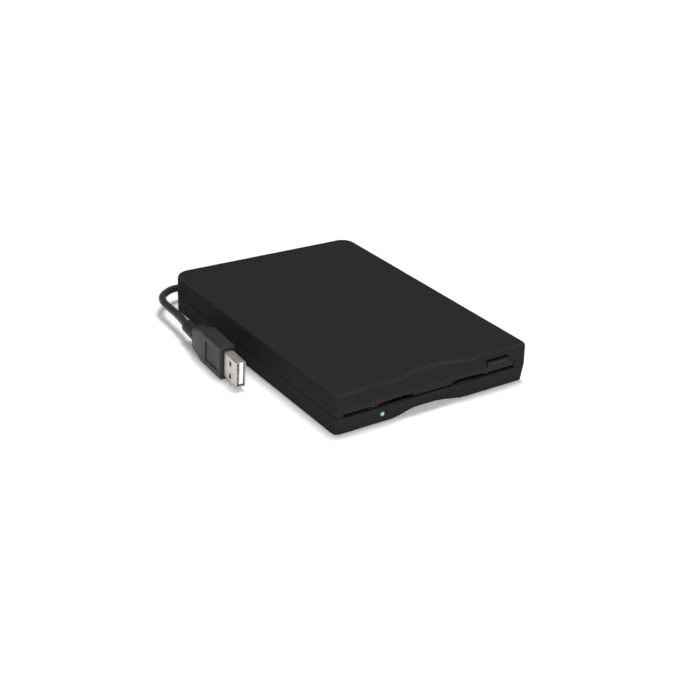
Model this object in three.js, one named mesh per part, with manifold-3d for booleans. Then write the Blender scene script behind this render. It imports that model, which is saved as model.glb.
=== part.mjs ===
// External 3.5-inch floppy disk drive with a captive USB lead.
// Millimetres, +Z up, X to the right as seen from the front, +Y towards the rear.
// The origin is the middle of the case's footprint, on the surface that it stands on.
import * as THREE from 'three';
import { ConvexGeometry } from 'three/addons/geometries/ConvexGeometry.js';
import { mergeVertices } from 'three/addons/utils/BufferGeometryUtils.js';
import Module from 'manifold-3d';

const wasm = await Module();
wasm.setup();

// General
const clearance = 0.3; // between pieces that nest, seat or slide on each other
const overrun = 0.8; // how far a cutter passes through what it cuts
const mergeDistance = 0.0001;
const roundSides = 24;
const smallSides = 16;

// Case: two moulded covers that meet at a seam
const slotEnd = 5.2; // from an end of the slot to the case's side
const caseAhead = 8.5; // in front of the deck
const caseBehind = 12.5;
const caseTop = 18.8;
const standHeight = 0.3; // the case's underside, held up by the feet
const seamHeight = 8.4;
const wall = 1.6;
const floorThickness = 1.6;
const frontCorner = 2.6;
const rearCorner = 7;
const topRound = 1.7;
const bottomRound = 0.5;
const sideDraft = 0.2; // how much the lower cover narrows towards its underside
const cornerSteps = 6;
const edgeSteps = 4;
// The front leans back from the slot to the top and bottom edges, and scoops in at the middle
const frontLean = 0.8;
const scoopDepth = 3.4;
const scoopHalf = 20.5;
const scoopFlatShare = 0.22;
const frontSteps = 26;
const rampFoot = 9;
// The lip of the lower cover that lies inside the upper one
const lipRise = 0.9;
const lipSkin = 0.95; // what is left of the upper cover outside the lip
const lipStart = 9; // behind the front

// Disk and its slot, on the deck's centre line
const deckX = -2;
const diskWidth = 90;
const diskSide = 0.4; // free space on each side of the disk
const slotEase = 1.3;
const slotHalf = diskWidth / 2 + slotEase;
const slotTop = 12.6;
const slotSkin = 0.8; // the front's wall above the slot, thinned for the door
const slotSkinTop = 15.4;

// Door flap
const doorEndGap = 0.35;
const doorHalf = slotHalf - doorEndGap;
const doorFoot = 9.1;
const doorTop = 12.3;
const doorThick = 2;
const doorThin = 1;
const doorPivotBack = 2.4; // the hinge line, behind the front
const doorPivotHeight = 14.4;
const doorArmWide = 1.6;
const doorArmDeep = 1.6;
const doorEye = 0.85;
const doorPin = 0.5;
const doorPinReach = 1.1;
const doorRecessFrom = 10.5; // the middle tab's half width, where the recesses begin
const doorRecessIn = 16.3; // where they end, in from the slot's ends
const doorRecessTo = slotHalf - doorRecessIn;
const doorRecessHeight = 1.9;
const doorRecessDepth = 1.1;
const doorRecessStations = [0, 0.25, 0.5, 0.75, 1];
const doorRecessHeightShares = [0.7, 1, 0.98, 0.75, 0.45];
const doorRecessDepthShares = [0.8, 1, 0.9, 0.7, 0.5];
const doorToothHalf = 0.6; // between a recess and the raised foot beyond it
const doorLift = 0.8; // how much higher the flap's foot is there
const sillHollow = 0.8; // the hollow in the lower cover's edge under each recess
const doorNub = 0.45;
const doorNubRise = 0.55;
const earWide = 2;
const earDeep = 2.4;
const earFoot = 13;

// Eject button
const buttonIn = 4.8; // in from the slot's right end
const buttonWide = 11;
const buttonRight = deckX + slotHalf - buttonIn;
const buttonLeft = buttonRight - buttonWide;
const buttonFoot = 12.75;
const buttonTop = 14.75;
const buttonRoomAbove = 1.1;
const buttonRoomLeft = 1;
const buttonDepth = 1.9;
const buttonProud = 0.25;
const stemHalf = 3;
const stemFoot = 13.8;
const stemTop = 14.7;
const hookHalf = 2.6;
const hookNeckHalf = 1.4;
const hookDeep = 2;
const hookNeckDeep = 1.9;

// Status light
const lensIn = 20.3; // in from the slot's left end
const lensX = deckX - slotHalf + lensIn;
const lensZ = 4.6;
const lensRadius = 1.2;
const lensProud = 0.2;
const lensCollar = 1.8;
const lensCollarDeep = 0.8;
const lensBodyDeep = 4;
const emitterHalf = 1.3;
const emitterDeep = 3;

// Feet and case screws
const footRadius = 4.5;
const footDepth = 1.2;
const footRecess = 0.9;
const footInX = 11.5; // in from the case's sides
const footInY = 20.5; // in from its front and rear
const footEdge = 0.4;
const screwInX = 6.5;
const screwInY = 7;
const screwShank = 1;
const screwHead = 2.2;
const screwHeadTall = 1.4;
const screwSink = 2.4; // how deep the head sits above the underside
const screwLong = 9;
const screwCross = 0.5;
const screwCrossDeep = 0.7;
const bossRadius = 3.4;
const bossSkin = 0.4;

// Deck: a folded tray with side walls
const trayFloor = 0.8;
const traySheet = 0.5;
const trayFront = -62;
const spindleBack = 49.7; // behind the deck's front
const trackZero = 39.5; // radius of the outermost track
const headTravel = 14.8;
const deckBehindHeads = 30.8;
const spindleY = trayFront + spindleBack;
const headY = spindleY + trackZero;
const trayRear = headY + deckBehindHeads;
const trayWallTop = 14.2;
const trayFrontTop = 7.9;
const trayRearTop = 12;
const trayPostWide = 5.6;
const trayPostDeep = 5.6;
const trayPostBack = 7.4; // from the deck's rear
const trayPostFront = trayRear - trayPostBack;
const coverFoot = 15.5;
const coverSheet = 0.5;
const frontEarDeep = 3.3;
const frontEarWide = 3.2;
const frontEarSheet = 0.6;
const rearWindowFoot = 4.2;
const rearWindowLintel = 2;
const coverScrewShank = 0.8;
const coverScrewHead = 1.8;
const coverScrewHeadTall = 0.55;
const coverScrewLong = 4;

// Disk holder: a C section that the disk slides into
const holderSheet = 0.4;
const holderFoot = 8;
const holderPastHeads = 1.3;
const holderRear = headY + holderPastHeads;
const holderLip = 3;
const bayTop = 12.8;
const holderDrop = 2.2;
const holderPin = 0.6;
const holderPinReach = 1.8;
const holderPinHeight = 12.5;
const holderPinBack = 22;
const holderPinFront = trayFront + holderPinBack;
const holderPinsApart = 58;
const holderPinRear = holderPinFront + holderPinsApart;
const headNotchHalf = 9.5;
const headNotchSpare = 6.4;
const headNotchFront = headY - headTravel - headNotchSpare;
const holderWindow = 17;

// Eject slide: the plate over the holder, whose side cams lower it
const slideSheet = 0.5;
const slideFoot = 14.5;
const slideBack = 4.5;
const slideFront = trayFront + slideBack;
const slidePastHolder = 5.5;
const slideRear = holderRear + slidePastHolder;
const slideFlangeFoot = 8.7;
const slideFlangeBack = 3.5;
const slideFlangeFront = slideFront + slideFlangeBack;
const slideFlangeShort = 4;
const slideFlangeRear = slideRear - slideFlangeShort;
const slideTravel = 4.5;
const slideTabWide = 2.6;
const slideTabFoot = 12.4;
const slideWindowWide = 26;
const slideWindowBack = 11.5;
const slideWindowFront = slideFront + slideWindowBack;
const slideWindowDeep = 40;
const slideWindowRear = slideWindowFront + slideWindowDeep;
const springRadius = 1.2;
const springHeight = 13.7;
const springInset = 1.9;

// Trigger lever: the disk's front edge turns it
const leverIn = 6.3; // in from the slot's left end
const leverPivotX = leverIn - slotHalf; // from the deck's centre line
const leverPastSlide = 4;
const leverPivotY = slideRear + leverPastSlide;
const leverFoot = 13.5;
const leverTop = 14.1;
const leverReach = 26.8;
const leverRest = -81.4; // degrees, from +X
const leverTurn = 69.5;
const leverEye = 3;
const leverTip = 1.6;
const leverPin = 0.8;
const leverPinFoot = 9.2;
const leverPost = 1.6;
const leverStud = 0.8;
const leverStudTop = 14.2;
const leverSlotSpare = 4; // degrees past each end of the lever's swing
const leverSlotSteps = 14;

// Spindle motor
const shaftRadius = 2;
const shaftTop = 8;
const bushRadius = 4.2;
const bushFlange = 5.4;
const bushFlangeTall = 0.5;
const bushTop = 5;
const statorInner = 5.8;
const statorPlate = 0.6;
const coilCount = 9;
const coilRadius = 2.6;
const coilTall = 0.8;
const rotorRadius = 21;
const rotorSkin = 0.8;
const statorGap = 0.6;
const statorOuter = rotorRadius - rotorSkin - statorGap;
const coilIn = 4.8; // in from the stator's edge
const coilOut = statorOuter - coilIn;
const rotorTop = 6.1;
const hubRadius = 12.5;
const hubFoot = 6.4;
const hubTop = 6.9;
const drivePinRadius = 1;
const drivePinOut = 9.3;
const drivePinTop = 7.9;

// Heads, carriage and its drive
const armHalf = 7;
const armFrontAhead = 2.6;
const armTop = 5.9;
const towerBack = 4; // from the deck's rear
const towerDeep = 7;
const towerRear = trayRear - towerBack;
const towerFront = towerRear - towerDeep;
const towerHalf = 8;
const towerTop = 10.4;
const headHalf = 2.4;
const headDeepHalf = 2.1;
const headFoot = 6.2;
const diskPlane = 8.05; // the disk's medium, once the disk is down
const headGap = 0.3; // between the two heads, once they are down
const upperArmSwing = 12.8; // degrees that the upper arm is lifted at rest
const upperHeadTall = 1.6;
const upperArmPivotBack = 4;
const upperArmPivotY = towerRear - upperArmPivotBack;
const upperArmPivotZ = 11.8;
const upperArmSheet = 0.7;
const upperArmHalf = 3.6;
const upperArmKnuckle = 1.2;
const upperArmPin = 0.5;
const lugWide = 1.6;
const lugDeepHalf = 1.5;
const lugAbove = 1.2;
const rodOffset = -12;
const rodHeight = 5.1;
const rodRadius = 0.8;
const rodSpare = 3.6;
const rodRearGap = 0.9;
const sleeveAhead = 0.2;
const sleeveFront = towerFront - sleeveAhead;
const rodFront = sleeveFront - headTravel - rodSpare;
const rodRear = trayRear - rodRearGap;
const sleeveHalf = 3;
const sleeveTop = 7.4;
const saddleHalf = 2.6;
const saddleDeep = 2;
const saddleTop = 6.1;
const leadOffset = 13.5;
const leadHeight = 6.6;
const leadRadius = 1.2;
const leadInto = 1.5;
const canRadius = 4;
const canLong = 6.6;
const canRear = rodRear;
const canFront = canRear - canLong;
const followerBack = 2.2; // behind the tower's front
const followerY = towerFront + followerBack;
const leadSpare = 1.9;
const leadFront = followerY - headTravel - leadSpare;
const bracketAhead = 0.6;
const bracketFront = leadFront - bracketAhead;
const followerHalf = 0.8;
const followerFoot = 5.8;
const followerTop = 7.6;
const bracketDeep = 1.2;
const bracketHalf = 2.6;
const bracketTop = 9;
const sensorHalf = 3;
const sensorDeep = 1.8;
const sensorTop = 7.6;
const sensorNotchHalf = 1.1;

// Boards and switches
const boardLift = 0.3;
const boardThick = 1;
const mainBoardIn = 1.1; // in from the slot's right end
const mainBoardBeside = 2.5; // beside the lead screw's motor
const mainBoardRight = slotHalf - mainBoardIn; // from the deck's centre line
const mainBoardLeft = leadOffset + canRadius + mainBoardBeside;
const mainBoardGap = 0.8;
const mainBoardDeep = 43.8;
const mainBoardRear = trayPostFront - mainBoardGap;
const mainBoardFront = mainBoardRear - mainBoardDeep;
const chipLift = 0.3;
const chipTall = 1;
const controlChipHalf = 5.5;
const controlChipX = (mainBoardLeft + mainBoardRight) / 2;
const controlChipBack = 12;
const controlChipY = mainBoardFront + controlChipBack;
const motorChipX = controlChipX;
const motorChipBack = 30;
const motorChipY = mainBoardFront + motorChipBack;
const motorChipWideHalf = 5;
const motorChipDeepHalf = 3;
const usbBoardIn = 10.3; // in from the slot's ends
const usbBoardHalf = slotHalf - usbBoardIn;
const usbBoardX = 0;
const usbBoardGap = 1;
const usbBoardFront = trayRear + usbBoardGap;
const usbBoardDeep = 7;
const usbBoardRear = usbBoardFront + usbBoardDeep;
const usbBoardFoot = 3.6;
const bridgeHalf = 3.5;
const bridgeX = 14;
const ribbonWideShare = 0.55; // of the main board's width
const ribbonHalf = (mainBoardRight - mainBoardLeft) / 2 * ribbonWideShare;
const ribbonX = mainBoardLeft + ribbonHalf;
const ribbonThick = 0.3;
const ribbonOnBoard = 5.8;
const ribbonFront = mainBoardRear - ribbonOnBoard;
const ribbonHump = 1.4;
const switchHalf = 3;
const switchDeepHalf = 4.5;
const switchBack = 8;
const switchY = trayFront + switchBack;
const switchIn = 7.7; // in from the slot's ends
const switchOut = slotHalf - switchIn;
const switchTop = 6;
const plungerRadius = 0.8;
const plungerTop = 7.8;
const plungerFoot = 5;
const plungerApart = 2.4;

// USB lead: strain relief, cable and plug
const exitIn = 21.5; // in from the case's left side
const reliefNeck = 2.7;
const reliefCollar = 3.6;
const reliefCollarDeep = 1.2;
const reliefBoot = 3;
const reliefTip = 2.3;
const reliefLong = 8;
const reliefRibs = 3;
const ribCrestShare = 0.6; // of a rib's pitch
const grooveFromShare = 0.65;
const grooveToShare = 0.95;
const cableRadius = 1.8;
const cableSides = 8;
const cableStep = 3.3;
const plugBeside = 12.8; // from the case's left side to the plug's middle
const plugY = 0; // middle of the plug along its own axis
const plugZ = 8;
const plugYaw = -2.9; // degrees
const plugShellFront = -18.4;
const plugShellWide = 4.5;
const plugShellTall = 12;
const plugShellSheet = 0.4;
const plugShellRound = 0.6;
const plugHoleTall = 2.4;
const plugHoleDeep = 2;
const plugHoleApart = 3;
const plugHoleFromFront = 4.9;
const tongueThick = 1.85;
const tongueTall = 10.4;
const tongueSetBack = 0.9;
const contactTall = 1;
const contactThick = 0.3;
const contactSink = 0.15;
const contactApart = 2.25;
const contactSetBack = 1.2;
const contactLong = 6.5;
const gripWide = 7.6;
const gripTall = 16;
const gripFront = -6.4;
const gripFull = 12.8;
const gripRear = 22.3;
const gripRound = 1.4;
const gripSocket = 3;
const gripPanelInset = 3.4;
const gripPanelRear = 8.7;
const gripPanelDeep = 0.4;
const gripShoulderShares = [[1, 1], [1, 0.9], [0.99, 0.8], [0.97, 0.74], [0.95, 0.72]];
const bootRear = 35.2;
const bootRadius = 3.6;
const bootTip = 3;
const bootRibs = 5;
// The spare length lies behind the case as a hank of two loops, the first on the second
const cableGap = 0.45; // between runs of the cable that lie on each other
const cableLift = 0.05; // off the surface
const hankPastExit = 16; // where the loops' turns begin
const hankRunDiameters = 15;
const hankGap = 0.35; // between the case and the nearest run
const hankStepGap = 0.7; // between runs side by side, which slant towards the waist
const hankTurnDiameters = 2; // the least radius of a turn
const hankTurnSpare = 0.1;
const hankRunSteps = 8;
const hankTurnSteps = 12;
const tieWide = 4;
const tieThick = 0.5;
// The cable's centre line: from its exit to the hank, from the case's rear left corner, and up to
// the plug
const routeOut = [[0, 8.3, 0], [0, 10.5, -0.15], [0.8, 14.2, -0.65], [3, 17.6, -1.4],
  [6.1, 20, -2.1], [9.4, 20.9, -2.45]];
const routeRound = [[30.9, 2.1, 1.85], [27, 2.3, 1.9], [22.5, 3.2, 2.3], [17.5, 4.4, 3.4],
  [12, 5.2, 5.3], [6.5, 4.8, 7.1], [1.3, 3.1, 8], [-3.5, 0.5, 8.1], [-7.2, -3.3, 8.1],
  [-8.9, -7.9, 8], [-9.4, -13.5, 8]];
const routeToPlug = [[3.2, 51, 0], [2.9, 45, 0], [2.3, 40, 0], [1.77, 35.5, 0]];

// Materials
const paint = (color, roughness, metalness) =>
  new THREE.MeshStandardMaterial({ color, roughness, metalness });
const look = {
  cover: () => paint(0x262426, 0.55, 0),
  trim: () => paint(0x1d1c1e, 0.5, 0),
  button: () => paint(0x2c2a2d, 0.45, 0),
  lens: () => paint(0x9fe6a0, 0.25, 0),
  rubber: () => paint(0x1a1a1a, 0.85, 0),
  steel: () => paint(0xb9bcc0, 0.35, 1),
  zinc: () => paint(0xc9ccd0, 0.4, 0.9),
  nickel: () => paint(0xcfcac0, 0.25, 1),
  brass: () => paint(0xc8a24a, 0.3, 1),
  copper: () => paint(0xb87333, 0.45, 0.8),
  nylon: () => paint(0xe9e7df, 0.5, 0),
  board: () => paint(0x1f5a36, 0.6, 0),
  chip: () => paint(0x202124, 0.5, 0),
  ceramic: () => paint(0xd8d6cf, 0.35, 0),
  ribbon: () => paint(0xb07a3c, 0.5, 0),
};

// ---- Solids ----

function solid(geometry) {
  const bare = geometry.index ? geometry.toNonIndexed() : geometry.clone();
  bare.deleteAttribute('normal');
  bare.deleteAttribute('uv');
  const merged = mergeVertices(bare, mergeDistance);
  return new wasm.Manifold(new wasm.Mesh({
    numProp: 3,
    vertProperties: new Float32Array(merged.attributes.position.array),
    triVerts: new Uint32Array(merged.index.array),
  }));
}

const join = (first, ...rest) => rest.reduce((all, one) => all.add(one), first);
const cut = (first, ...rest) => rest.reduce((all, one) => all.subtract(one), first);
const span = (centre, half) => [centre - half, centre + half];
const turn = (degrees) => THREE.MathUtils.degToRad(degrees);

function box([x0, x1], [y0, y1], [z0, z1]) {
  const geometry = new THREE.BoxGeometry(x1 - x0, y1 - y0, z1 - z0);
  geometry.translate((x0 + x1) / 2, (y0 + y1) / 2, (z0 + z1) / 2);
  return solid(geometry);
}

// A cylinder or cone along one axis, through the point [p, q] of the two other axes.
function rod(axis, radius, [p, q], [from, to], sides = roundSides, endRadius = radius) {
  const geometry = new THREE.CylinderGeometry(endRadius, radius, to - from, sides);
  geometry.translate(0, (from + to) / 2, 0);
  if (axis === 'x') geometry.rotateZ(-Math.PI / 2).translate(0, p, q);
  if (axis === 'y') geometry.translate(p, 0, q);
  if (axis === 'z') geometry.rotateX(Math.PI / 2).translate(p, q, 0);
  return solid(geometry);
}

// A profile of [across, up] points, extruded along an axis.
function profile(axis, points, [from, to]) {
  const shape = new THREE.Shape(points.map(([u, v]) => new THREE.Vector2(u, v)));
  const geometry = new THREE.ExtrudeGeometry(shape, { depth: to - from, bevelEnabled: false });
  const x = new THREE.Vector3(1, 0, 0);
  const y = new THREE.Vector3(0, 1, 0);
  const z = new THREE.Vector3(0, 0, 1);
  const turned = new THREE.Matrix4();
  if (axis === 'x') turned.makeBasis(y, z, x).setPosition(from, 0, 0);
  if (axis === 'y') turned.makeBasis(x, z, y.clone().negate()).setPosition(0, to, 0);
  if (axis === 'z') turned.setPosition(0, 0, from);
  return solid(geometry.applyMatrix4(turned));
}

// A revolved profile of [radius, height] points about the vertical line through [x, y].
function lathe(points, [x, y], sides = roundSides) {
  const outline = points.map(([r, h]) => new THREE.Vector2(r, h));
  const geometry = new THREE.LatheGeometry(outline, sides);
  geometry.rotateX(Math.PI / 2).translate(x, y, 0);
  return solid(geometry);
}

// The same, about a line along +Y through [x, z]; a point's height is its y.
function latheY(points, [x, z], sides = roundSides) {
  const outline = points.map(([r, h]) => new THREE.Vector2(r, h));
  const geometry = new THREE.LatheGeometry(outline, sides);
  geometry.translate(x, 0, z);
  return solid(geometry);
}

// The outline of a slot with round ends, from one centre to the other.
function roundSlot([u0, v0], [u1, v1], radius) {
  const heading = Math.atan2(v1 - v0, u1 - u0);
  const points = [];
  const half = smallSides / 2;
  for (let i = 0; i <= half; i++) {
    const angle = heading - Math.PI / 2 + (Math.PI * i) / half;
    points.push([u1 + radius * Math.cos(angle), v1 + radius * Math.sin(angle)]);
  }
  for (let i = 0; i <= half; i++) {
    const angle = heading + Math.PI / 2 + (Math.PI * i) / half;
    points.push([u0 + radius * Math.cos(angle), v0 + radius * Math.sin(angle)]);
  }
  return points;
}

// A closed solid through a stack of rings, each with the same number of points, counter-clockwise
// as seen from above and fanned from their middle at both ends.
function loft(rings) {
  const n = rings[0].length;
  const points = rings.flat();
  const index = [];
  for (let k = 0; k + 1 < rings.length; k++) {
    for (let i = 0; i < n; i++) {
      const j = (i + 1) % n;
      const [a, b, c, d] = [k * n + i, k * n + j, (k + 1) * n + i, (k + 1) * n + j];
      index.push(a, b, d, a, d, c);
    }
  }
  for (const k of [0, rings.length - 1]) {
    const middle = new THREE.Vector3();
    rings[k].forEach((p) => middle.add(p));
    points.push(middle.divideScalar(n));
    for (let i = 0; i < n; i++) {
      const [a, b] = [k * n + i, k * n + ((i + 1) % n)];
      if (k === 0) index.push(points.length - 1, b, a);
      else index.push(points.length - 1, a, b);
    }
  }
  const geometry = new THREE.BufferGeometry();
  geometry.setAttribute('position', new THREE.Float32BufferAttribute(
    points.flatMap((p) => [p.x, p.y, p.z]), 3));
  geometry.setIndex(index);
  return solid(geometry);
}

// ---- Scene ----

const drive = new THREE.Group();

function add(name, body, material, parent = drive) {
  const { vertProperties, triVerts } = body.getMesh();
  const geometry = new THREE.BufferGeometry();
  geometry.setAttribute('position', new THREE.BufferAttribute(new Float32Array(vertProperties), 3));
  geometry.setIndex(new THREE.BufferAttribute(new Uint32Array(triVerts), 1));
  geometry.computeVertexNormals();
  const mesh = new THREE.Mesh(geometry, material());
  mesh.name = name;
  parent.add(mesh);
  return mesh;
}

// ---- Case ----

const caseWidth = (slotHalf + slotEnd) * 2;
const front = trayFront - caseAhead;
const rear = trayRear + caseBehind;
const left = -caseWidth / 2;
const footX = caseWidth / 2 - footInX;
const footYs = [front + footInY, rear - footInY];
const screwX = caseWidth / 2 - screwInX;
const screwY = rear - screwInY;
const exitX = left + exitIn;
const plugX = left - plugBeside;
const inner = caseWidth / 2 - wall; // the upper cover's inside, from the middle
const roof = caseTop - wall;
const floorTop = standHeight + floorThickness;
const upperFoot = seamHeight + clearance / 2;
const lowerTop = seamHeight - clearance / 2;

// How far the front is drawn back at x, for the full lean.
function drawnBack(x) {
  const t = (Math.abs(x - deckX) / scoopHalf - scoopFlatShare) / (1 - scoopFlatShare);
  const bump = (1 + Math.cos(Math.PI * THREE.MathUtils.clamp(t, 0, 1))) / 2;
  return frontLean + scoopDepth * bump;
}

// The share of the lean at a height: none at the slot, all of it at the top and bottom edges.
const leanAt = (z) => (z >= rampFoot
  ? (z - rampFoot) / (caseTop - rampFoot)
  : Math.max(0, (seamHeight - z) / (seamHeight - standHeight)));

// The case's outline at a height, drawn in on every side by an inset, and by the draft of the
// lower cover on its sides and rear.
function outline(z, inset) {
  const draft = sideDraft * Math.max(0, (seamHeight - z) / (seamHeight - standHeight));
  const half = caseWidth / 2 - inset - draft;
  const frontRadius = Math.max(frontCorner - inset, clearance);
  const rearRadius = Math.max(rearCorner - inset, clearance);
  const lean = leanAt(z);
  const start = half - frontRadius;
  const rearStart = half - rearRadius;
  const frontY = (x) => front + inset + lean * drawnBack(x);
  const ring = [];
  const corner = (radius, cx, cy, from) => {
    for (let i = 0; i <= cornerSteps; i++) {
      const angle = turn(from) + (Math.PI / 2) * (i / cornerSteps);
      ring.push(new THREE.Vector3(cx + radius * Math.cos(angle), cy + radius * Math.sin(angle), z));
    }
  };
  corner(frontRadius, -start, frontY(-start) + frontRadius, 180);
  for (let i = 1; i < frontSteps; i++) {
    const x = -start + 2 * start * (i / frontSteps);
    ring.push(new THREE.Vector3(x, frontY(x), z));
  }
  corner(frontRadius, start, frontY(start) + frontRadius, 270);
  corner(rearRadius, rearStart, rear - inset - draft - rearRadius, 0);
  corner(rearRadius, -rearStart, rear - inset - draft - rearRadius, 90);
  return ring;
}

function upperHull(inset) {
  const rings = [outline(lowerTop, inset), outline(rampFoot, inset)];
  for (let i = 0; i <= edgeSteps; i++) {
    const angle = (Math.PI / 2) * (i / edgeSteps);
    const z = caseTop - topRound * (1 - Math.sin(angle));
    rings.push(outline(z, inset + topRound * (1 - Math.cos(angle))));
  }
  return loft(rings);
}

function lowerHull() {
  const rings = [];
  for (let i = 0; i <= edgeSteps; i++) {
    const angle = (Math.PI / 2) * (i / edgeSteps);
    const z = standHeight + bottomRound * (1 - Math.sin(Math.PI / 2 - angle));
    rings.push(outline(z, bottomRound * (1 - Math.cos(Math.PI / 2 - angle))));
  }
  rings.sort((a, b) => a[0].z - b[0].z);
  rings.push(outline(lowerTop, 0));
  return loft(rings);
}

const upperCavity = loft([outline(upperFoot - overrun, wall), outline(rampFoot, wall),
  outline(roof, wall)]);
const lowerCavity = loft([outline(floorTop, wall),
  outline(seamHeight, wall), outline(seamHeight + overrun, wall)]);
const hull = upperHull(0);
const slotSpan = span(deckX, slotHalf);
const frontZone = [front - overrun, front + lipStart];

const doorAxis = { y: front + doorPivotBack, z: doorPivotHeight };
const doorSpan = span(deckX, doorHalf);
const buttonSpan = [buttonLeft - buttonRoomLeft, buttonRight + clearance];
const lidBossFoot = seamHeight + clearance;
const footSeat = standHeight + footRecess;
const screwSpots = [-screwX, screwX].map((x) => [x, screwY]);
const headSeat = standHeight + screwSink + screwHeadTall;
const screwTop = headSeat - clearance + screwLong;

// A recess in the flap's face above its foot, or the hollow in the lower cover that it faces
function recess(side, foot, height) {
  const beyond = foot - Math.sign(height) * overrun;
  const stations = doorRecessStations.map((share, i) => {
    const x = deckX + side * (doorRecessFrom
      + share * (doorRecessTo - doorToothHalf - doorRecessFrom));
    const deep = front + doorRecessDepth * doorRecessDepthShares[i];
    const edge = foot + height * doorRecessHeightShares[i];
    const ring = [[front - overrun, beyond], [deep, beyond], [deep, foot], [front, edge],
      [front - overrun, edge]].map(([y, z]) => new THREE.Vector3(x, y, z));
    return height < 0 ? ring.reverse() : ring;
  });
  if (side < 0) stations.reverse();
  // rings along X: seen from +X, Y runs to the right and Z up, so they are counter-clockwise
  return loft(stations);
}

// The lip joint: a step inside the upper cover's rim, and the lower cover's lip that fills it
const lipTop = lowerTop + lipRise;
const lipZone = box([-caseWidth, caseWidth], [front + lipStart, rear + overrun],
  [lowerTop - overrun, lipTop + clearance]);
const lipStep = loft([outline(upperFoot - overrun, lipSkin - clearance),
  outline(seamHeight + overrun + lipRise, lipSkin - clearance)]).intersect(lipZone);

function ear(side) {
  const at = side < 0 ? slotSpan[0] : slotSpan[1];
  const block = box(side < 0 ? [at - earWide, at] : [at, at + earWide],
    [doorAxis.y - earDeep / 2, doorAxis.y + earDeep / 2], [earFoot, roof + wall / 2]);
  return block.intersect(hull);
}
function earBore(side) {
  const from = side < 0 ? doorSpan[0] - doorPinReach - clearance : slotSpan[1] - overrun;
  const to = side < 0 ? slotSpan[0] + overrun : doorSpan[1] + doorPinReach + clearance;
  return rod('x', doorPin + clearance, [doorAxis.y, doorAxis.z], [from, to], smallSides);
}

const armPocket = (side) => box(side < 0 ? [slotSpan[0], slotSpan[0] + doorArmWide + clearance * 2]
  : [slotSpan[1] - doorArmWide - clearance * 2, slotSpan[1]],
[doorAxis.y - doorEye - clearance, doorAxis.y + doorEye], [slotTop - overrun, slotSkinTop]);
const slotRelief = loft([outline(slotTop - overrun, slotSkin), outline(slotSkinTop, slotSkin)])
  .intersect(box(slotSpan, frontZone, [slotTop - overrun, slotSkinTop]));
const exitBore = rod('y', reliefNeck + clearance, [exitX, seamHeight],
  [rear - wall - overrun, rear + overrun]);
const upperSeat = box([-caseWidth, caseWidth], [front - overrun, rear + overrun],
  [upperFoot, caseTop + overrun]);

let upperCover = cut(hull.intersect(upperSeat), upperCavity, lipStep, slotRelief);
upperCover = join(upperCover, ear(-1), ear(1),
  ...screwSpots.map(([x, y]) => rod('z', bossRadius, [x, y], [lidBossFoot, roof + wall / 2])));
upperCover = cut(upperCover, earBore(-1), earBore(1), armPocket(-1), armPocket(1), exitBore,
  box(slotSpan, frontZone, [lowerTop - overrun, slotTop]),
  box(buttonSpan, frontZone, [slotTop - overrun, buttonTop + buttonRoomAbove]),
  ...screwSpots.map(([x, y]) => rod('z', screwShank + clearance, [x, y],
    [lidBossFoot - overrun, screwTop + clearance], smallSides)));
add('upper_cover', upperCover, look.cover);

const footSpots = footYs.flatMap((y) => [[-footX, y], [footX, y]]);
const lip = cut(loft([outline(lowerTop - overrun, lipSkin), outline(lipTop, lipSkin)]),
  upperCavity, lowerCavity).intersect(
  box([-caseWidth, caseWidth], [front + lipStart + clearance, rear], [lowerTop - overrun, lipTop]));
let lowerCover = cut(lowerHull(), lowerCavity);
lowerCover = join(lowerCover, lip, ...screwSpots.map(([x, y]) =>
  rod('z', bossRadius, [x, y], [floorTop - floorThickness / 2, seamHeight])));
lowerCover = cut(lowerCover, exitBore, recess(-1, lowerTop, -sillHollow),
  recess(1, lowerTop, -sillHollow),
  rod('y', lensRadius + clearance, [lensX, lensZ], frontZone, smallSides),
  ...footSpots.map(([x, y]) => rod('z', footRadius + clearance, [x, y],
    [standHeight - overrun, footSeat])),
  ...screwSpots.flatMap(([x, y]) => [
    rod('z', screwHead + bossSkin, [x, y], [standHeight - overrun, headSeat], smallSides),
    rod('z', screwShank + clearance, [x, y], [headSeat - overrun, seamHeight + overrun], smallSides)]));
add('lower_cover', lowerCover, look.cover);

['front_left', 'front_right', 'rear_left', 'rear_right'].forEach((place, i) => {
  add(`foot_${place}`, lathe([[0, 0], [footRadius - footEdge, 0], [footRadius, footEdge],
    [footRadius, footDepth], [0, footDepth]], footSpots[i], smallSides), look.rubber);
});

['left', 'right'].forEach((side, i) => {
  const [x, y] = screwSpots[i];
  const seat = headSeat - clearance;
  const foot = seat - screwHeadTall;
  const body = lathe([[0, foot], [screwHead, foot], [screwHead, seat], [screwShank, seat],
    [screwShank, screwTop - screwShank], [0, screwTop]], [x, y], smallSides);
  const slotDeep = [foot - overrun, foot + screwCrossDeep];
  const long = screwHead - screwCross;
  add(`case_screw_${side}`, cut(body,
    box(span(x, long), span(y, screwCross / 2), slotDeep),
    box(span(x, screwCross / 2), span(y, long), slotDeep)), look.zinc);
});

// ---- Door flap ----

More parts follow.
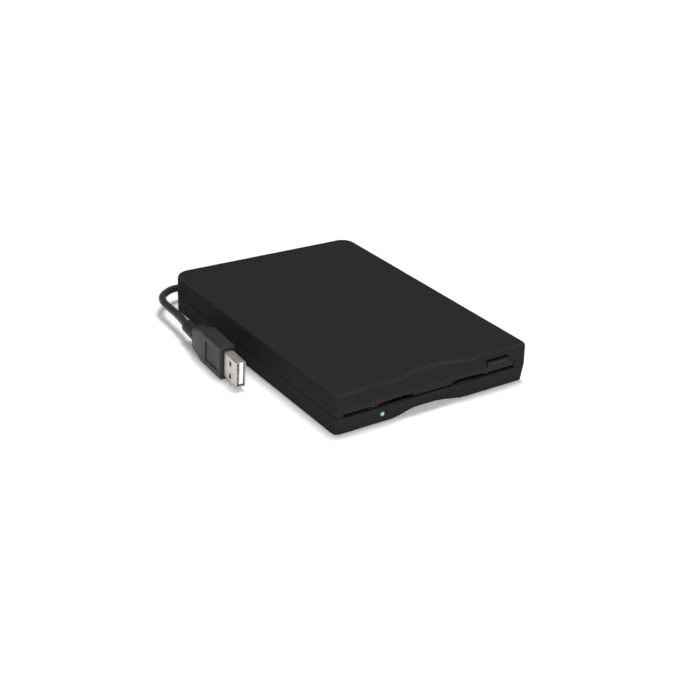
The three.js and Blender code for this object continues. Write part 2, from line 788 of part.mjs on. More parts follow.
const doorBlock = hull.intersect(box(doorSpan, [front - overrun, front + doorThick],
  [doorFoot, doorTop]));
const thinFrom = doorRecessTo + clearance;
const doorBacks = [[doorSpan[0] - overrun, deckX - thinFrom], [deckX + thinFrom,
  doorSpan[1] + overrun]].map((x) => box(x, [front + doorThin, front + doorThick + overrun],
  [doorFoot - overrun, doorTop + overrun]));
const doorArms = [-1, 1].map((side) => {
  const edge = side < 0 ? doorSpan[0] : doorSpan[1];
  const across = side < 0 ? [edge, edge + doorArmWide] : [edge - doorArmWide, edge];
  const armY = [doorAxis.y - doorEye, doorAxis.y - doorEye + doorArmDeep];
  const pin = side < 0 ? [edge - doorPinReach, edge + overrun] : [edge - overrun, edge + doorPinReach];
  const knee = doorTop - doorThin;
  return join(box(across, armY, [knee, doorAxis.z]),
    box(across, [front + doorThin / 2, armY[1]], [knee, doorTop]),
    rod('x', doorEye, [doorAxis.y, doorAxis.z], across, smallSides),
    rod('x', doorPin, [doorAxis.y, doorAxis.z], pin, smallSides));
});
const doorNubs = span(deckX, doorRecessTo).map((x) => {
  const geometry = new THREE.SphereGeometry(doorNub, smallSides, smallSides / 2);
  geometry.translate(x, front + doorNub / 2, doorFoot + doorNubRise);
  return solid(geometry);
});
const doorFeet = [[doorSpan[0] - overrun, deckX - doorRecessTo - doorToothHalf],
  [deckX + doorRecessTo + doorToothHalf, doorSpan[1] + overrun]].map((x) =>
  box(x, [front - overrun, front + doorThick + overrun], [doorFoot - overrun, doorFoot + doorLift]));
add('slot_door', join(cut(doorBlock, ...doorBacks, ...doorFeet, recess(-1, doorFoot, doorRecessHeight),
  recess(1, doorFoot, doorRecessHeight)), ...doorArms, ...doorNubs), look.trim);

// ---- Eject button ----

const buttonBack = front + buttonDepth;
const stemRear = slideFront - clearance;
const buttonMid = (buttonLeft + buttonRight) / 2;
const face = upperHull(-buttonProud).intersect(box([buttonLeft, buttonRight],
  [front - overrun, buttonBack], [buttonFoot, buttonTop]));
const hookRear = slideFront + hookNeckDeep + hookDeep;
add('eject_button', join(face,
  box(span(buttonMid, stemHalf), [buttonBack - overrun, stemRear], [stemFoot, stemTop]),
  box(span(buttonMid, hookNeckHalf), [stemRear - overrun, hookRear], [slideFoot, stemTop]),
  box(span(buttonMid, hookHalf), [slideFront + hookNeckDeep, hookRear], [slideFoot, stemTop])),
look.button);

// ---- Status light ----

const lensFront = front + frontLean * leanAt(lensZ) - lensProud;
const collarFront = front + wall + frontLean + clearance;
add('led_lens', latheY([[0, lensFront], [lensRadius - lensProud, lensFront],
  [lensRadius, lensFront + lensProud], [lensRadius, collarFront], [lensCollar, collarFront],
  [lensCollar, collarFront + lensCollarDeep], [lensRadius, collarFront + lensCollarDeep],
  [lensRadius, lensFront + lensBodyDeep], [0, lensFront + lensBodyDeep]], [lensX, lensZ], smallSides),
look.lens);
add('led_emitter', box(span(lensX, emitterHalf),
  [trayFront - clearance - emitterDeep, trayFront - clearance], span(lensZ, emitterHalf)), look.nylon);

// ---- Deck tray ----

const bayHalf = diskWidth / 2 + diskSide;
const holderHalf = bayHalf + holderSheet;
const trayInner = holderHalf + clearance;
const trayOuter = trayInner + traySheet;
const flangeInner = trayOuter + clearance;
const flangeOuter = flangeInner + slideSheet;
const trayFoot = floorTop + clearance;
const deckTop = trayFoot + trayFloor;
const boardFoot = deckTop + boardLift;
const pinYs = [holderPinFront, holderPinRear];
const pinSlot = holderPin + clearance;
const pinLow = holderPinHeight - holderDrop;
const deck = (x) => deckX + x;
const postSpots = [-1, 1].map((side) => [deck(side * (trayInner - trayPostWide / 2)),
  trayPostFront + trayPostDeep / 2]);
const earTop = coverFoot - clearance;
const earSpots = [-1, 1].map((side) => [deck(side * (trayInner - frontEarWide / 2)),
  trayFront + frontEarDeep / 2]);

const traySide = (side) => {
  const x = side < 0 ? [deck(-trayOuter), deck(-trayInner)] : [deck(trayInner), deck(trayOuter)];
  const ledge = side < 0 ? [x[0], x[1] + frontEarWide] : [x[0] - frontEarWide, x[1]];
  return join(box(x, [trayFront, trayRear], [trayFoot, trayWallTop]),
    box(x, [trayFront, trayFront + frontEarDeep], [trayWallTop - overrun, earTop]),
    box(ledge, [trayFront, trayFront + frontEarDeep], [earTop - frontEarSheet, earTop]));
};
let tray = join(box(span(deckX, trayOuter), [trayFront, trayRear], [trayFoot, deckTop]),
  traySide(-1), traySide(1),
  box(span(deckX, trayOuter), [trayFront, trayFront + traySheet], [trayFoot, trayFrontTop]),
  box(span(deckX, trayOuter), [trayRear - traySheet, trayRear], [trayFoot, trayRearTop]),
  ...postSpots.map(([x, y]) => box(span(x, (trayPostWide + traySheet) / 2), span(y, trayPostDeep / 2),
    [trayFoot, earTop])));
const leverSpot = [deck(leverPivotX), leverPivotY];
tray = join(tray, rod('z', leverPost, leverSpot, [trayFoot, leverFoot - clearance], smallSides),
  rod('z', leverStud, leverSpot, [trayFoot, leverStudTop], smallSides));
const pinCuts = [-1, 1].flatMap((side) => pinYs.map((y) => join(
  rod('x', pinSlot, [y, pinLow], span(deck(side * trayInner), traySheet + overrun), smallSides),
  box(span(deck(side * trayInner), traySheet + overrun), span(y, pinSlot),
    [pinLow, trayWallTop + overrun]))));
const canX = deck(leadOffset);
tray = cut(tray, ...pinCuts,
  rod('z', bushRadius + clearance, [deckX, spindleY], [trayFoot - overrun, deckTop + overrun]),
  box(span(canX, canRadius + clearance), [canFront - clearance, canRear + clearance],
    [trayFoot - overrun, deckTop + overrun]),
  box(span(deck(ribbonX), ribbonHalf + clearance), [trayRear - traySheet - overrun, trayRear + overrun],
    [rearWindowFoot, trayRearTop - rearWindowLintel]),
  ...postSpots.map((at) => rod('z', coverScrewShank + clearance, at,
    [earTop - coverScrewLong - clearance, earTop + overrun], smallSides)),
  ...earSpots.map((at) => rod('z', coverScrewShank + clearance, at,
    [earTop - frontEarSheet - overrun, earTop + overrun], smallSides)));
add('drive_tray', tray, look.steel);

// ---- Deck cover plate ----

const coverTop = coverFoot + coverSheet;
const headWindow = [headNotchFront, trayPostFront];
// its screws sit in it as one piece
const deckScrews = [...earSpots, ...postSpots].map((at, i) => {
  const seat = coverTop - coverSheet / 2;
  const foot = earTop - (i < earSpots.length ? frontEarSheet : coverScrewLong);
  return lathe([[0, foot], [coverScrewShank, foot], [coverScrewShank, seat], [coverScrewHead, seat],
    [coverScrewHead, coverTop + coverScrewHeadTall], [0, coverTop + coverScrewHeadTall]], at,
  smallSides);
});
add('drive_cover', join(cut(box(span(deckX, trayOuter), [trayFront, trayRear], [coverFoot, coverTop]),
  box(span(deckX, headNotchHalf + clearance), headWindow, [coverFoot - overrun, coverTop + overrun]),
  rod('z', holderWindow / 2, [deckX, spindleY], [coverFoot - overrun, coverTop + overrun])),
...deckScrews), look.steel);

// ---- Disk holder ----

const holderTop = bayTop + holderSheet;
const sideOf = (side, near, far) => (side < 0 ? [deck(-far), deck(-near)] : [deck(near), deck(far)]);
const holderRange = [trayFront + traySheet + clearance, holderRear];
const leverArc = (spare, inside, outside) => {
  const points = [];
  const from = leverRest - spare;
  const to = leverRest + leverTurn + spare;
  for (let i = 0; i <= leverSlotSteps; i++) {
    const angle = turn(from + ((to - from) * i) / leverSlotSteps);
    points.push([leverSpot[0] + outside * Math.cos(angle), leverSpot[1] + outside * Math.sin(angle)]);
  }
  for (let i = leverSlotSteps; i >= 0; i--) {
    const angle = turn(from + ((to - from) * i) / leverSlotSteps);
    points.push([leverSpot[0] + inside * Math.cos(angle), leverSpot[1] + inside * Math.sin(angle)]);
  }
  return points;
};
const leverGap = leverPin + clearance * 2;
let holder = join(box(span(deckX, holderHalf), holderRange, [bayTop, holderTop]),
  ...[-1, 1].flatMap((side) => [
    box(sideOf(side, bayHalf, holderHalf), holderRange, [holderFoot, holderTop]),
    box(sideOf(side, bayHalf - holderLip, holderHalf), holderRange,
      [holderFoot, holderFoot + holderSheet]),
    ...pinYs.map((y) => rod('x', holderPin, [y, holderPinHeight],
      sideOf(side, bayHalf + holderSheet / 2, holderHalf + holderPinReach), smallSides))]));
holder = cut(holder,
  box(span(deckX, headNotchHalf), [headNotchFront, holderRear + overrun],
    [bayTop - overrun, holderTop + overrun]),
  rod('z', holderWindow, [deckX, spindleY - holderWindow / 2], [bayTop - overrun, holderTop + overrun]),
  profile('z', leverArc(leverSlotSpare, leverReach - leverGap, leverReach + leverGap),
    [bayTop - overrun, holderTop + overrun]));
add('disk_holder', holder, look.steel);

// ---- Eject slide ----

const slideTop = slideFoot + slideSheet;
const slideNose = trayInner - frontEarWide - clearance;
let slide = join(
  box(span(deckX, slideNose), [slideFront, slideRear], [slideFoot, slideTop]),
  box(span(deckX, flangeOuter), [slideFlangeFront, slideFlangeRear], [slideFoot, slideTop]),
  ...[-1, 1].flatMap((side) => [
    box(sideOf(side, flangeInner, flangeOuter), [slideFlangeFront, slideFlangeRear],
      [slideFlangeFoot, slideTop]),
    box(sideOf(side, trayInner - clearance - slideTabWide, trayInner - clearance),
      [slideRear - slideSheet, slideRear], [slideTabFoot, slideTop]),
    box(sideOf(side, slideNose - overrun, trayInner - clearance),
      [slideFlangeRear - overrun, slideRear], [slideFoot, slideTop])]));
slide = cut(slide,
  box(span(deckX, headNotchHalf), [headNotchFront, slideRear + overrun],
    [slideFoot - overrun, slideTop + overrun]),
  box(span(deckX, slideWindowWide), [slideWindowFront, slideWindowRear],
    [slideFoot - overrun, slideTop + overrun]),
  box(span(buttonMid, hookNeckHalf + clearance), [slideFront - overrun, slideFront + hookNeckDeep],
    [slideFoot - overrun, slideTop + overrun]),
  box(span(buttonMid, hookHalf + clearance),
    [slideFront + hookNeckDeep - clearance, hookRear + clearance],
    [slideFoot - overrun, slideTop + overrun]),
  ...[-1, 1].flatMap((side) => pinYs.map((y) => profile('x',
    roundSlot([y, holderPinHeight], [y + slideTravel, pinLow], pinSlot),
    span(deck(side * (flangeInner + flangeOuter) / 2), slideSheet)))));
add('eject_slide', slide, look.steel);

['left', 'right'].forEach((name, i) => {
  const x = deck((i ? 1 : -1) * (trayInner - springInset));
  add(`eject_spring_${name}`, rod('y', springRadius, [x, springHeight],
    [slideRear + clearance, trayPostFront - clearance], smallSides), look.steel);
});

// ---- Trigger lever ----

const lever = new THREE.Group();
lever.position.set(leverSpot[0], leverSpot[1], 0);
lever.rotation.z = turn(leverRest);
drive.add(lever);
const leverLimb = profile('z', [[0, -leverEye], [leverReach, -leverTip], [leverReach, leverTip],
  [0, leverEye]], [leverFoot, leverTop]);
add('trigger_lever', cut(join(leverLimb,
  rod('z', leverEye, [0, 0], [leverFoot, leverTop]),
  rod('z', leverTip, [leverReach, 0], [leverFoot, leverTop], smallSides),
  rod('z', leverPin, [leverReach, 0], [leverPinFoot, leverTop], smallSides)),
rod('z', leverStud + clearance, [0, 0], [leverFoot - overrun, leverTop + overrun], smallSides)),
look.zinc, lever);

// ---- Spindle motor ----

const spindle = [deckX, spindleY];
add('spindle_bearing', lathe([[shaftRadius + clearance, trayFoot], [bushRadius, trayFoot],
  [bushRadius, boardFoot], [bushFlange, boardFoot], [bushFlange, boardFoot + bushFlangeTall],
  [bushRadius, boardFoot + bushFlangeTall], [bushRadius, bushTop], [shaftRadius + clearance, bushTop],
  [shaftRadius + clearance, trayFoot]], spindle), look.brass);
const statorTop = boardFoot + statorPlate;
const coils = Array.from({ length: coilCount }, (_, i) => {
  const angle = (2 * Math.PI * i) / coilCount;
  return rod('z', coilRadius, [deckX + coilOut * Math.cos(angle), spindleY + coilOut * Math.sin(angle)],
    [boardFoot, statorTop + coilTall], smallSides / 2);
});
add('motor_stator', join(lathe([[statorInner, boardFoot], [statorOuter, boardFoot],
  [statorOuter, statorTop], [statorInner, statorTop], [statorInner, boardFoot]], spindle),
...coils), look.copper);
const rotorFoot = rotorTop - rotorSkin;
add('motor_rotor', lathe([[shaftRadius + clearance, rotorFoot], [rotorRadius - rotorSkin, rotorFoot],
  [rotorRadius - rotorSkin, boardFoot + clearance], [rotorRadius, boardFoot + clearance],
  [rotorRadius, rotorTop], [shaftRadius + clearance, rotorTop], [shaftRadius + clearance, rotorFoot]],
spindle), look.steel);
const drivePinSpot = [deckX, spindleY + drivePinOut];
add('spindle_hub', cut(join(rod('z', hubRadius, spindle, [hubFoot, hubTop]),
  rod('z', shaftRadius, spindle, [trayFoot, shaftTop])),
rod('z', drivePinRadius + clearance, drivePinSpot, [hubFoot - overrun, hubTop + overrun], smallSides)),
look.zinc);
add('drive_pin', rod('z', drivePinRadius, drivePinSpot, [rotorTop + clearance, drivePinTop],
  smallSides), look.brass);

// ---- Heads and carriage ----

const carriageFoot = deckTop + clearance;
const rodX = deck(rodOffset);
const leadX = deck(leadOffset);
const lugFoot = towerTop - overrun;
let carriage = join(
  box(span(deckX, armHalf), [headY - armFrontAhead, towerFront + overrun], [carriageFoot, armTop]),
  box(span(deckX, towerHalf), [towerFront, towerRear], [carriageFoot, towerTop]),
  box([rodX - sleeveHalf, deckX - towerHalf + overrun], [sleeveFront, towerRear],
    [carriageFoot, sleeveTop]),
  box([deckX + towerHalf - overrun, leadX - leadRadius - clearance], span(followerY, followerHalf),
    [followerFoot, followerTop]),
  ...[-1, 1].map((side) => box(side < 0
    ? [deckX - upperArmHalf - clearance - lugWide, deckX - upperArmHalf - clearance]
    : [deckX + upperArmHalf + clearance, deckX + upperArmHalf + clearance + lugWide],
  span(upperArmPivotY, lugDeepHalf), [lugFoot, upperArmPivotZ + lugAbove])));
carriage = cut(carriage,
  rod('y', rodRadius + clearance, [rodX, rodHeight], [sleeveFront - overrun, towerRear + overrun],
    smallSides),
  rod('x', upperArmPin + clearance, [upperArmPivotY, upperArmPivotZ],
    span(deckX, towerHalf + overrun), smallSides),
  rod('x', upperArmKnuckle + clearance, [upperArmPivotY, upperArmPivotZ],
    span(deckX, upperArmHalf + clearance), smallSides),
  box(span(deckX, armHalf - wall), [headY + headDeepHalf + wall * 2, towerFront - wall * 2],
    [carriageFoot - overrun, armTop + overrun]));
add('head_carriage', carriage, look.nylon);
add('lower_head', box(span(deckX, headHalf), span(headY, headDeepHalf),
  [headFoot, diskPlane - clearance / 2]), look.ceramic);

// The upper arm is shaped as it lies with the heads down, and its group lifts it
const arm = new THREE.Group();
arm.position.set(deckX, upperArmPivotY, upperArmPivotZ);
arm.rotation.x = -turn(upperArmSwing);
drive.add(arm);
const armReach = upperArmPivotY - headY;
const upperHeadFoot = diskPlane - clearance / 2 + headGap - upperArmPivotZ;
const armUnder = upperHeadFoot + upperHeadTall + clearance;
const armTip = -armReach - headDeepHalf;
add('upper_head_arm', join(
  profile('x', [[armTip, armUnder], [-armReach + headDeepHalf, armUnder], [0, -upperArmSheet / 2],
    [0, upperArmSheet / 2], [-armReach + headDeepHalf, armUnder + upperArmSheet],
    [armTip, armUnder + upperArmSheet]], span(0, upperArmHalf)),
  rod('x', upperArmKnuckle, [0, 0], span(0, upperArmHalf), smallSides),
  rod('x', upperArmPin, [0, 0], span(0, upperArmHalf + lugWide), smallSides)), look.zinc, arm);
add('upper_head', box(span(0, headHalf), span(-armReach, headDeepHalf),
  [upperHeadFoot, upperHeadFoot + upperHeadTall]), look.ceramic, arm);

add('guide_rod', rod('y', rodRadius, [rodX, rodHeight], [rodFront, rodRear], smallSides), look.steel);
[['front', rodFront + clearance], ['rear', trayRear - traySheet - clearance - saddleDeep]]
  .forEach(([name, from]) => {
    add(`rod_saddle_${name}`, cut(box(span(rodX, saddleHalf), [from, from + saddleDeep],
      [carriageFoot, saddleTop]),
    join(rod('y', rodRadius + clearance, [rodX, rodHeight],
      [from - overrun, from + saddleDeep + overrun], smallSides),
    box(span(rodX, rodRadius + clearance), [from - overrun, from + saddleDeep + overrun],
      [rodHeight, saddleTop + overrun]))), look.nylon);
  });

add('stepper_motor', cut(join(
  rod('y', canRadius, [leadX, leadHeight], [canFront, canRear])),
rod('y', leadRadius + clearance, [leadX, leadHeight], [canFront - overrun, canFront + leadInto
  + clearance], smallSides)), look.zinc);
add('lead_screw', rod('y', leadRadius, [leadX, leadHeight], [leadFront, canFront + leadInto],
  smallSides), look.steel);
add('screw_bracket', cut(box(span(leadX, bracketHalf), [bracketFront, bracketFront + bracketDeep],
  [carriageFoot, bracketTop]),
rod('y', leadRadius + clearance, [leadX, leadHeight],
  [bracketFront + bracketDeep / 3, bracketFront + bracketDeep + overrun], smallSides)), look.nylon);
add('track_zero_sensor', cut(box(span(deckX, sensorHalf),
  [trayRear - traySheet - clearance - sensorDeep, trayRear - traySheet - clearance],
  [carriageFoot, sensorTop]),
box(span(deckX, sensorNotchHalf), [towerRear, trayRear], [sensorTop - wall, sensorTop + overrun])),
look.chip);

// ---- Boards ----

const boardTop = boardFoot + boardThick;
const chipFoot = boardTop + chipLift;
add('main_board', box([deck(mainBoardLeft), deck(mainBoardRight)], [mainBoardFront, mainBoardRear],
  [boardFoot, boardTop]), look.board);
add('control_chip', box(span(deck(controlChipX), controlChipHalf), span(controlChipY, controlChipHalf),
  [chipFoot, chipFoot + chipTall]), look.chip);
add('motor_chip', box(span(deck(motorChipX), motorChipWideHalf), span(motorChipY, motorChipDeepHalf),
  [chipFoot, chipFoot + chipTall]), look.chip);
const usbBoardTop = usbBoardFoot + boardThick;
add('usb_board', box(span(usbBoardX, usbBoardHalf), [usbBoardFront, usbBoardRear],
  [usbBoardFoot, usbBoardTop]), look.board);
add('bridge_chip', box(span(bridgeX, bridgeHalf),
  span((usbBoardFront + usbBoardRear) / 2, bridgeHalf - clearance),
  [usbBoardTop + chipLift, usbBoardTop + chipLift + chipTall]), look.chip);
const ribbonFoot = Math.max(boardTop, usbBoardTop) + clearance;
const ribbonMid = (ribbonFront + usbBoardRear) / 2;
const ribbonLine = [[ribbonFront, ribbonFoot], [ribbonFront + ribbonHump * 2, ribbonFoot],
  [ribbonMid - ribbonHump, ribbonFoot + ribbonHump], [ribbonMid + ribbonHump, ribbonFoot + ribbonHump],
  [usbBoardRear - ribbonHump * 2, ribbonFoot], [usbBoardRear, ribbonFoot]];
add('flat_cable', profile('x', [...ribbonLine,
  ...ribbonLine.map(([y, z]) => [y, z + ribbonThick]).reverse()],
span(deck(ribbonX), ribbonHalf)), look.ribbon);

// ---- Disk detectors ----

[['left', -1, [0]], ['right', 1, [-1, 1]]].forEach(([name, side, places]) => {
  const x = deck(side * switchOut);
  add(`switch_block_${name}`, cut(box(span(x, switchHalf), span(switchY, switchDeepHalf),
    [boardFoot, switchTop]),
  ...places.map((place) => rod('z', plungerRadius + clearance, [x, switchY + place * plungerApart],
    [plungerFoot - wall, switchTop + overrun], smallSides))), look.chip);
  places.forEach((place) => {
    const plunger = side < 0 ? 'density' : place < 0 ? 'write_protect' : 'disk_in';
    add(`${plunger}_plunger`, lathe([[0, plungerFoot], [plungerRadius, plungerFoot],
      [plungerRadius, plungerTop - plungerRadius / 2], [plungerRadius / 2, plungerTop],
      [0, plungerTop]], [x, switchY + place * plungerApart], smallSides), look.nylon);
  });
});

// ---- USB lead ----

const reliefRear = rear + reliefLong;
const reliefSteps = [];
for (let i = 0; i < reliefRibs; i++) {
  const at = (share) => rear + clearance + (reliefLong - clearance) * ((i + share) / reliefRibs);
  const radius = reliefBoot + (reliefTip - reliefBoot) * (i / reliefRibs);
  const next = reliefBoot + (reliefTip - reliefBoot) * ((i + 1) / reliefRibs);
  reliefSteps.push([radius, at(0)], [radius, at(ribCrestShare)], [next - clearance, at(grooveFromShare)],
    [next - clearance, at(i === reliefRibs - 1 ? 1 : grooveToShare)]);
}
const collarRear = rear - wall - sideDraft - clearance;
add('strain_relief', latheY([[0, collarRear - reliefCollarDeep],
  [reliefCollar, collarRear - reliefCollarDeep], [reliefCollar, collarRear], [reliefNeck, collarRear],
  [reliefNeck, rear + clearance], ...reliefSteps, [0, reliefRear]], [exitX, seamHeight], smallSides),
look.rubber);

// The hank's runs, from the case outwards: the last one, the one that drops a layer, and the far
// ones, which lie on each other. All are drawn in at the waist, where they lie a step apart
const hankLeft = exitX + hankPastExit;
const hankRight = hankLeft + cableRadius * 2 * hankRunDiameters;
const hankStep = cableRadius * 2 + hankStepGap;
const hankTurn = cableRadius * 2 * hankTurnDiameters + hankTurnSpare;
const hankNear = rear - sideDraft / 2 + hankGap + cableRadius;
const hankInner = hankNear + hankStep;
const hankFar = hankInner + hankTurn * 2;
const hankLow = cableRadius + cableLift;
const hankHigh = hankLow + cableRadius * 2 + cableGap;
const hankDraw = (hankFar - hankInner - hankStep) / 2;
const hankRaise = tieThick + clearance;
const hankEnd = hankLeft - cableRadius * 2;
const hankMouth = [[hankEnd, hankFar, hankHigh], [hankEnd, hankNear, hankLow]];
const shares = (count) => Array.from({ length: count + 1 }, (_, i) => i / count);
const hankRun = (from, to, y, inward, startHeight, endHeight) => shares(hankRunSteps).map((share) => {
  const drawn = Math.sin(Math.PI * share) ** 2;
  return [from + (to - from) * share, y + inward * hankDraw * drawn, startHeight
    + (endHeight - startHeight) * THREE.MathUtils.smoothstep(share, 0, 1) + hankRaise * drawn];
});
const hankHalfTurn = (x, side, from, to, height) => shares(hankTurnSteps).slice(1, -1).map((share) => {
  const radius = Math.abs(to - from) / 2;
  const angle = Math.PI * share;
  return [x + side * radius * Math.sin(angle), (from + to) / 2 + (from - to) / 2 * Math.cos(angle),
    height];
});
const hank = [[hankInner, hankHigh], [hankNear, hankLow]].flatMap(([near, height], i) => [
  ...(i ? hankHalfTurn(hankLeft, -1, hankInner, hankFar, height) : []),
  ...hankRun(hankLeft, hankRight, hankFar, -1, height, height),
  ...hankHalfTurn(hankRight, 1, hankFar, near, height),
  ...hankRun(hankRight, hankLeft, near, 1, height, hankLow)]);
const routeFrom = (points, origin) => points.map((p) => p.map((length, i) => length + origin[i]));
const routeAway = [...routeFrom(routeRound, [left, rear, 0]),
  ...routeFrom(routeToPlug, [plugX, plugY, plugZ])];
const cableRoute = [...routeFrom(routeOut, [exitX, rear, seamHeight]), hankMouth[0], ...hank,
  hankMouth[1], ...routeAway];
const route = new THREE.CatmullRomCurve3(cableRoute.map((p) => new THREE.Vector3(...p)), false,
  'centripetal');
const pieceSteps = hankRunSteps * 2;
route.arcLengthDivisions = (cableRoute.length - 1) * pieceSteps;
const lengths = route.getLengths();
const cableLong = route.getLength();
const lengthAt = (point) => lengths[point * pieceSteps];
const along = route.getSpacedPoints(route.arcLengthDivisions);
const apart = Math.ceil((along.length * Math.PI * hankTurn) / cableLong / 2);
let nearest = Infinity;
along.forEach((p, i) => {
  for (let j = i + apart; j < along.length; j++) nearest = Math.min(nearest, p.distanceTo(along[j]));
});
console.log(`cable: ${cableLong.toFixed(1)} mm long, least gap to itself `
  + `${(nearest - 2 * cableRadius).toFixed(2)} mm`);

// A stretch of the cable between two lengths along its route
class Stretch extends THREE.Curve {
  constructor(from, to) {
    super();
    this.ends = [from / cableLong, to / cableLong];
  }

  getPoint(share, target) {
    return route.getPointAt(THREE.MathUtils.lerp(...this.ends, share), target);
  }
}
const cableSection = new THREE.Shape(shares(cableSides).slice(1).map((share) => new THREE.Vector2(
  cableRadius * Math.cos(2 * Math.PI * share), cableRadius * Math.sin(2 * Math.PI * share))));
const hankFrom = lengthAt(routeOut.length);
const hankTo = lengthAt(cableRoute.length - 1 - routeAway.length);
[['start', 0, hankFrom - clearance / 2], ['hank', hankFrom + clearance / 2, hankTo - clearance / 2],
  ['end', hankTo + clearance / 2, cableLong]].forEach(([name, from, to]) => {
  const mesh = new THREE.Mesh(new THREE.ExtrudeGeometry(cableSection, {
    steps: Math.ceil((to - from) / cableStep), extrudePath: new Stretch(from, to), bevelEnabled: false,
  }), look.rubber());
  mesh.name = `cable_${name}`;
  drive.add(mesh);
});

// The tie is stretched round the four runs at the hank's waist
const tieX = (hankLeft + hankRight) / 2;
const waist = [[hankNear + hankDraw, hankLow], [hankInner + hankDraw, (hankLow + hankHigh) / 2],
  [hankFar - hankDraw, hankLow], [hankFar - hankDraw, hankHigh]];
const tieSolid = (radius, half) => solid(new ConvexGeometry(waist.flatMap(([y, z]) =>
  span(tieX, half).flatMap((x) => shares(smallSides).slice(1).map((share) => new THREE.Vector3(x,
    y + radius * Math.cos(2 * Math.PI * share),
    z + hankRaise + radius * Math.sin(2 * Math.PI * share)))))));
add('cable_tie', cut(tieSolid(cableRadius + clearance + tieThick, tieWide / 2),
  tieSolid(cableRadius + clearance, tieWide / 2 + overrun)), look.rubber);

// The plug lies on its narrow edge beside the case, with its mouth towards the front
const plug = new THREE.Group();
plug.position.set(plugX, plugY, plugZ);
plug.rotation.z = turn(plugYaw);
drive.add(plug);

function roundedBlock(halfWide, halfTall, radius, y) {
  const ringPoints = [];
  const steps = edgeSteps - 1;
  [[1, 1, 0], [-1, 1, 90], [-1, -1, 180], [1, -1, 270]].forEach(([sx, sz, from]) => {
    for (let i = 0; i <= steps; i++) {
      const angle = turn(from) + (Math.PI / 2) * (i / steps);
      ringPoints.push(new THREE.Vector3(sx * (halfWide - radius) + radius * Math.cos(angle), y,
        sz * (halfTall - radius) + radius * Math.sin(angle)));
    }
  });
  return ringPoints.reverse();
}

const gripRings = [
  roundedBlock(gripWide / 2 - gripRound / 2, gripTall / 2 - gripRound / 2, gripRound / 2, gripFront),
  roundedBlock(gripWide / 2, gripTall / 2, gripRound, gripFront + gripRound / 2),
  ...gripShoulderShares.map(([wide, tall], i) => roundedBlock(gripWide / 2 * wide,
    gripTall / 2 * tall, gripRound,
    gripFull + (gripRear - gripFull) * (i / (gripShoulderShares.length - 1))))];
const bootSteps = [[0, gripRear - overrun]];
for (let i = 0; i < bootRibs; i++) {
  const at = (share) => gripRear - overrun
    + (bootRear - gripRear + overrun) * ((i + share) / bootRibs);
  const radius = bootRadius + (bootTip - bootRadius) * (i / bootRibs);
  bootSteps.push([radius, at(0)], [radius, at(ribCrestShare)], [radius - clearance * 2, at(grooveFromShare)],
    [radius - clearance * 2, at(i === bootRibs - 1 ? 1 : grooveToShare)]);
}
bootSteps.push([0, bootRear]);
const panelTall = gripTall / 2 - gripPanelInset;
const panelLong = [gripFront + gripPanelInset, gripPanelRear];
const panel = (side) => box(side < 0 ? [-gripWide / 2 - overrun, -gripWide / 2 + gripPanelDeep]
  : [gripWide / 2 - gripPanelDeep, gripWide / 2 + overrun], panelLong, span(0, panelTall));
add('plug_grip', cut(join(loft(gripRings), latheY(bootSteps, [0, 0], smallSides)), panel(-1), panel(1),
  box(span(0, plugShellWide / 2 + clearance), [gripFront - overrun, gripFront + gripSocket],
    span(0, plugShellTall / 2 + clearance))), look.rubber, plug);

const socketRear = gripFront + gripSocket - clearance;
const shellHoles = [-1, 1].map((side) => box(span(0, plugShellWide),
  [plugShellFront + plugHoleFromFront, plugShellFront + plugHoleFromFront + plugHoleDeep],
  span(side * plugHoleApart, plugHoleTall / 2)));
const shellInner = [plugShellWide / 2 - plugShellSheet, plugShellTall / 2 - plugShellSheet];
add('plug_shell', cut(loft([plugShellFront, socketRear].map((y) => roundedBlock(plugShellWide / 2,
  plugShellTall / 2, plugShellRound, y))),
loft([plugShellFront - overrun, socketRear - plugShellSheet].map((y) => roundedBlock(...shellInner,
  plugShellRound - plugShellSheet, y))), ...shellHoles), look.nickel, plug);
const tongueX = [shellInner[0] - clearance - tongueThick, shellInner[0] - clearance];
const tongueFront = plugShellFront + tongueSetBack;
const tongueRear = socketRear - plugShellSheet - clearance;
const contactZ = (i) => (i - 1.5) * contactApart;
const contactX = [tongueX[0] - contactThick + contactSink, tongueX[0] + contactSink];
const contactY = [tongueFront + contactSetBack, tongueFront + contactSetBack + contactLong];
add('plug_tongue', cut(box(tongueX, [tongueFront, tongueRear], span(0, tongueTall / 2)),
  ...[0, 1, 2, 3].map((i) => box([contactX[0] - overrun, contactX[1] + clearance],
    [contactY[0] - clearance, contactY[1] + clearance],
    span(contactZ(i), contactTall / 2 + clearance)))), look.nylon, plug);
[0, 1, 2, 3].forEach((i) => add(`plug_contact_${i + 1}`,
  box(contactX, contactY, span(contactZ(i), contactTall / 2)), look.brass, plug));

export default drive;
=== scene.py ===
# The looks of an external floppy disk drive with a captive USB lead, as it stands in a studio
import math

import bmesh
import bpy
from mathutils import Matrix, Vector


